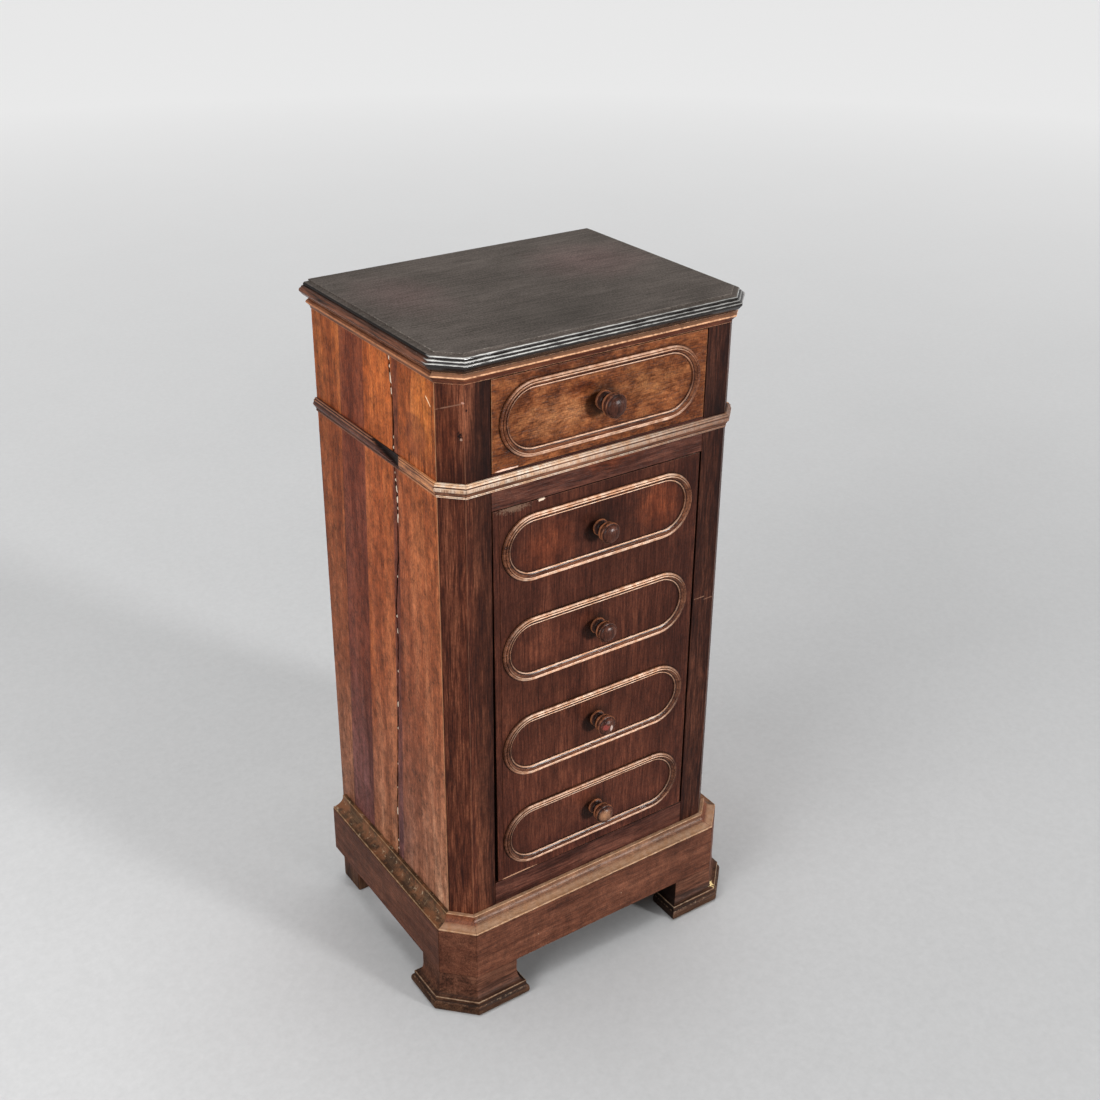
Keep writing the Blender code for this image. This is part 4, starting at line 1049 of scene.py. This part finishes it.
def makeKnob(name, node, material):
    low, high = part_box(node)
    centre = Vector(((low.x + high.x) / 2, frontY, (low.z + high.z) / 2))
    radius = (high.z - low.z) / 2
    length = frontY - low.y
    turns = []
    for i in range(48):
        angle = 2 * math.pi * i / 48
        turns.append((centre, forward, Vector((cos(angle), 0, sin(angle)))))
    sweep(name, knobOutline(radius, length), turns, [node], material, loopPath=True, loopOutline=False,
          wear=0.0003, wearSize=0.005, span=0.0014)


def makeOvalsAndKnobs():
    finish = makeWood("oval moulding", woods["oval"])
    muted = makeWood("muted oval moulding", {**woods["oval"], "wear": mutedWearAndHighlight})
    turned = makeWood("turned knob", woods["knob"])
    chipped = makeWood("chipped knob", {**woods["knob"], "spots": chippedSpots})
    rubbed = makeWood("rubbed knob", {**woods["knob"], "spots": rubbedSpots})
    makeOval("drawerOval", "drawer_oval_moulding", muted)
    makeKnob("drawerKnob", "drawer_knob", turned)
    doorFinishes = ((finish, turned), (finish, turned), (finish, chipped), (muted, rubbed))
    for number, (ovalFinish, knobFinish) in enumerate(doorFinishes, 1):
        makeOval(f"doorOval.{number}", f"door_oval_moulding_{number}", ovalFinish)
        makeKnob(f"doorKnob.{number}", f"door_knob_{number}", knobFinish)


# Left side panel, with the crack between its boards
panel = {
    "inner": -0.169,          # its inner face
    "rebate": 0.008,          # width of what is left outside the back boards
    "rebateDepth": 0.2757,    # where they start
    "step": 0.004,            # between levels of points
}
crack = {
    "line": ((0.048, 0.138), (0.126, 0.138), (0.21, 0.135), (0.28, 0.128), (0.36, 0.122), (0.428, 0.116),
             (0.477, 0.116), (0.509, 0.112), (0.54, 0.107), (0.598, 0.104), (0.619, 0.1035), (0.631, 0.106),
             (0.668, 0.108), (0.69, 0.106), (0.713, 0.1055), (0.731, 0.107), (0.741, 0.108),
             (0.781, 0.111)),  # (height, depth)
    "cuts": ((-1.6, 0.0, 0.0), (-1.0, 0.0, 0.2), (-0.6, 0.0025, 1.0), (0.0, 0.0035, 1.0),
             (0.6, 0.0025, 1.0), (1.0, 0.0, 0.2), (1.6, 0.0, 0.0)),  # (share of the width, sink, mark)
    "gape": 0.0015,           # half its width
    "filled": ((0.731, 0.77), (0.575, 0.628)),  # heights that are mostly filled
    "margin": 0.005,          # from the crack to the next column of points
    "filler": 2.0,            # mark of the filler
}


def crackDepth(z):
    for (z0, d0), (z1, d1) in zip(crack["line"], crack["line"][1:]):
        if z <= z1:
            return d0 + (d1 - d0) * (z - z0) / (z1 - z0)
    return crack["line"][-1][1]


def isFilled(z):
    mostly = any(low < z < high for low, high in crack["filled"])
    if mostly and noise.noise(Vector((5.1, 1.1, z * 170))) > -0.12:
        return True
    return noise.noise(Vector((7.7, 1.1, z * 210))) > (0.25 if z < 0.45 else 0.42)


def makeSidePanel(material):
    low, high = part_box("side_panel_left")
    front, back = low.y - frontY, high.y - frontY
    outer, inner = -body["half"], panel["inner"]
    rebateX, rebateDepth = outer + panel["rebate"], panel["rebateDepth"]
    margin = crack["margin"]
    levels = round((high.z - low.z) / panel["step"])
    shell = bmesh.new()
    mark = shell.verts.layers.float.new("mark")
    rings = []
    for level in range(levels + 1):
        z = low.z + (high.z - low.z) * level / levels
        centre = crackDepth(z) + 0.0006 * noise.noise(Vector((0.3, 0.7, z * 160)))
        gape = crack["gape"] + 0.0009 * noise.noise(Vector((2.3, 0.1, z * 110)))
        filled = isFilled(z)
        columns = [(front + (centre - margin - front) * i / 14, 0.0, 0.0) for i in range(15)]
        for place, sink, amount in crack["cuts"]:
            if filled and abs(place) < 0.9:
                sink, amount = 0.0004, crack["filler"]
            columns.append((centre + place * gape, sink, amount))
        columns += [(centre + margin + (back - centre - margin) * i / 20, 0.0, 0.0) for i in range(21)]
        ring = []
        for depth, sink, amount in columns:
            cup = 0.0003 * noise.noise(Vector((depth * 14, 3.0, z * 3)))
            vertex = shell.verts.new((outer + sink + max(0.0, cup), frontY + depth, z))
            vertex[mark] = amount
            ring.append(vertex)
        for x, depth in ((rebateX, back), (rebateX, rebateDepth), (inner, rebateDepth), (inner, front)):
            ring.append(shell.verts.new((x, frontY + depth, z)))
        rings.append(ring)
    skin(shell, rings)
    addPiece("sidePanel.left", shell, ["side_panel_left"], material, 40)


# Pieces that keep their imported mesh: their wood, the way of its grain, and the nodes
kept = (
    ("post", "z", ("corner_post_left", "corner_post_right", "door_stop")),
    ("post", "x", ("top_rail",)),
    ("side", "z", ("side_panel_right",)),
    ("plinth", "x", ("plinth_board_front", "plinth_board_cant_left", "plinth_board_cant_right")),
    ("plinth", "y", ("plinth_board_left", "plinth_board_right")),
    ("foot", "z", ("back_foot_left", "back_foot_right")),
    ("inner", "x", ("bottom_board", "dust_board", "top_back_rail", "plinth_back_board", "drawer_back")),
    ("inner", "y", ("drawer_guide_left", "drawer_guide_right", "drawer_side_left", "drawer_side_right",
                    "drawer_bottom")),
    ("inner", "z", ("back_board_left", "back_board_right")),
)
# Boards with worn edges all round, so each has a finish of its own
edged = {"waist_rail": "rail", "bottom_rail": "rail", "drawer_front": "drawer", "door_board": "door",
         "door_edge_strip": "door"}
irons = ("frame_pivot_top", "frame_pivot_bottom", "door_pivot_top", "door_pivot_bottom")


def dress(name, material):
    # a finish and eased edges
    node = frame["nodes"][name]
    mesh = node.data
    mesh.materials[0] = material
    for word in ("custom_normal", "sharp_edge", "sharp_face"):
        if word in mesh.attributes:
            mesh.attributes.remove(mesh.attributes[word])
    mesh.shade_smooth()
    weld = node.modifiers.new("weld", "WELD")
    weld.merge_threshold = 0.00001
    bevel = node.modifiers.new("eased edges", "BEVEL")
    bevel.width = 0.0005
    bevel.segments = 2
    bevel.limit_method = "ANGLE"
    bevel.angle_limit = radians(30)
    bevel.harden_normals = True


def dressKept():
    for word, grain, names in kept:
        material = makeWood(f"{word} along {grain}", {**woods[word], "grain": grain})
        for name in names:
            dress(name, material)
    for name, word in edged.items():
        dress(name, makeWood(name, woods[word], name))
    iron = makeIron("old iron")
    for name in irons:
        frame["nodes"][name].data.materials[0] = iron


dressKept()
print("kept nodes dressed")
makeTop()
makeMouldings()
makeFeet()
print("mouldings and feet made")
makeOvalsAndKnobs()
makeSidePanel(makeWood("left side panel", woods["side"]))
print("ovals, knobs and side panel made")


# Studio
studio = {
    "world": 0.18,            # what the room gives as light
    "backdrop": 0.7,          # what the lens and reflections see of it
    "suns": {"softbox": (1.8, 40, (0.1, 0.1, 1.0)), "front": (3.8, 9, (0.46, -1.0, 0.17))},
    "fill": {"power": 50, "size": 1.6, "at": (-2.3, -0.5, 1.6), "target": (0, 0, 0.4)},
    "floor": 60,              # half its width
    "floorZ": -0.0002,
}
view = {
    "at": (-0.8124, -1.2154, 1.2687), "yaw": 0.5876, "down": 0.4507, "roll": 0.0028,
    "lens": 47.16, "shiftX": 0.0179, "shiftY": -0.0529,
}


def hang(name, data, at, target=(0, 0, 0)):
    # puts a light in the scene and turns it to its target
    thing = put(name, data)
    thing.location = at
    thing.rotation_mode = "QUATERNION"
    thing.rotation_quaternion = (Vector(target) - thing.location).to_track_quat("-Z", "Y")


def makeWorld():
    world = bpy.data.worlds.new("studio")
    world.use_nodes = True
    bpy.context.scene.world = world
    sky = Sky(world)
    camera, glossy, through = [sky.add("ShaderNodeLightPath", {}, {}, f"Is {kind} Ray")
                               for kind in ("Camera", "Glossy", "Transmission")]
    seen = camera.most(glossy).most(through)
    strength = seen * (studio["backdrop"] - studio["world"]) + studio["world"]
    sky.feed(world.node_tree.nodes["Background"].inputs, {"Color": (1.0, 1.0, 1.0), "Strength": strength})


def makeLights():
    for name, (power, angle, way) in studio["suns"].items():
        sun = bpy.data.lights.new(name, "SUN")
        sun.energy = power
        sun.angle = radians(angle)
        hang(name, sun, Vector(way) * 3)
    fill = studio["fill"]
    lamp = bpy.data.lights.new("fill", "AREA")
    lamp.energy = fill["power"]
    lamp.size = fill["size"]
    hang("fill", lamp, fill["at"], fill["target"])


def makeStage():
    mesh = bpy.data.meshes.new("floor")
    reach, z = studio["floor"], studio["floorZ"]
    mesh.from_pydata([(-reach, -reach, z), (reach, -reach, z), (reach, reach, z), (-reach, reach, z)],
                     [], [(0, 1, 2, 3)])
    mesh.materials.append(makeFloor("pale floor"))
    floor = put("floor", mesh)


def makeCamera():
    yaw, down, roll = view["yaw"], view["down"], view["roll"]
    ahead = Vector((sin(yaw) * cos(down), cos(yaw) * cos(down), -sin(down)))
    right = ahead.cross(upward).normalized()
    above = right.cross(ahead)
    turned = right * cos(roll) + above * sin(roll)
    lifted = above * cos(roll) - right * sin(roll)
    lens = bpy.data.cameras.new("camera")
    lens.lens = view["lens"]
    lens.sensor_width = 36
    lens.shift_x = view["shiftX"]
    lens.shift_y = view["shiftY"]
    lens.clip_end = 200
    camera = put("camera", lens)
    rows = Matrix((turned, lifted, -ahead)).transposed().to_4x4()
    camera.matrix_world = Matrix.Translation(Vector(view["at"])) @ rows
    bpy.context.scene.camera = camera


makeWorld()
makeLights()
makeStage()
makeCamera()
bpy.context.scene.view_settings.view_transform = "Standard"
print("studio and camera set")
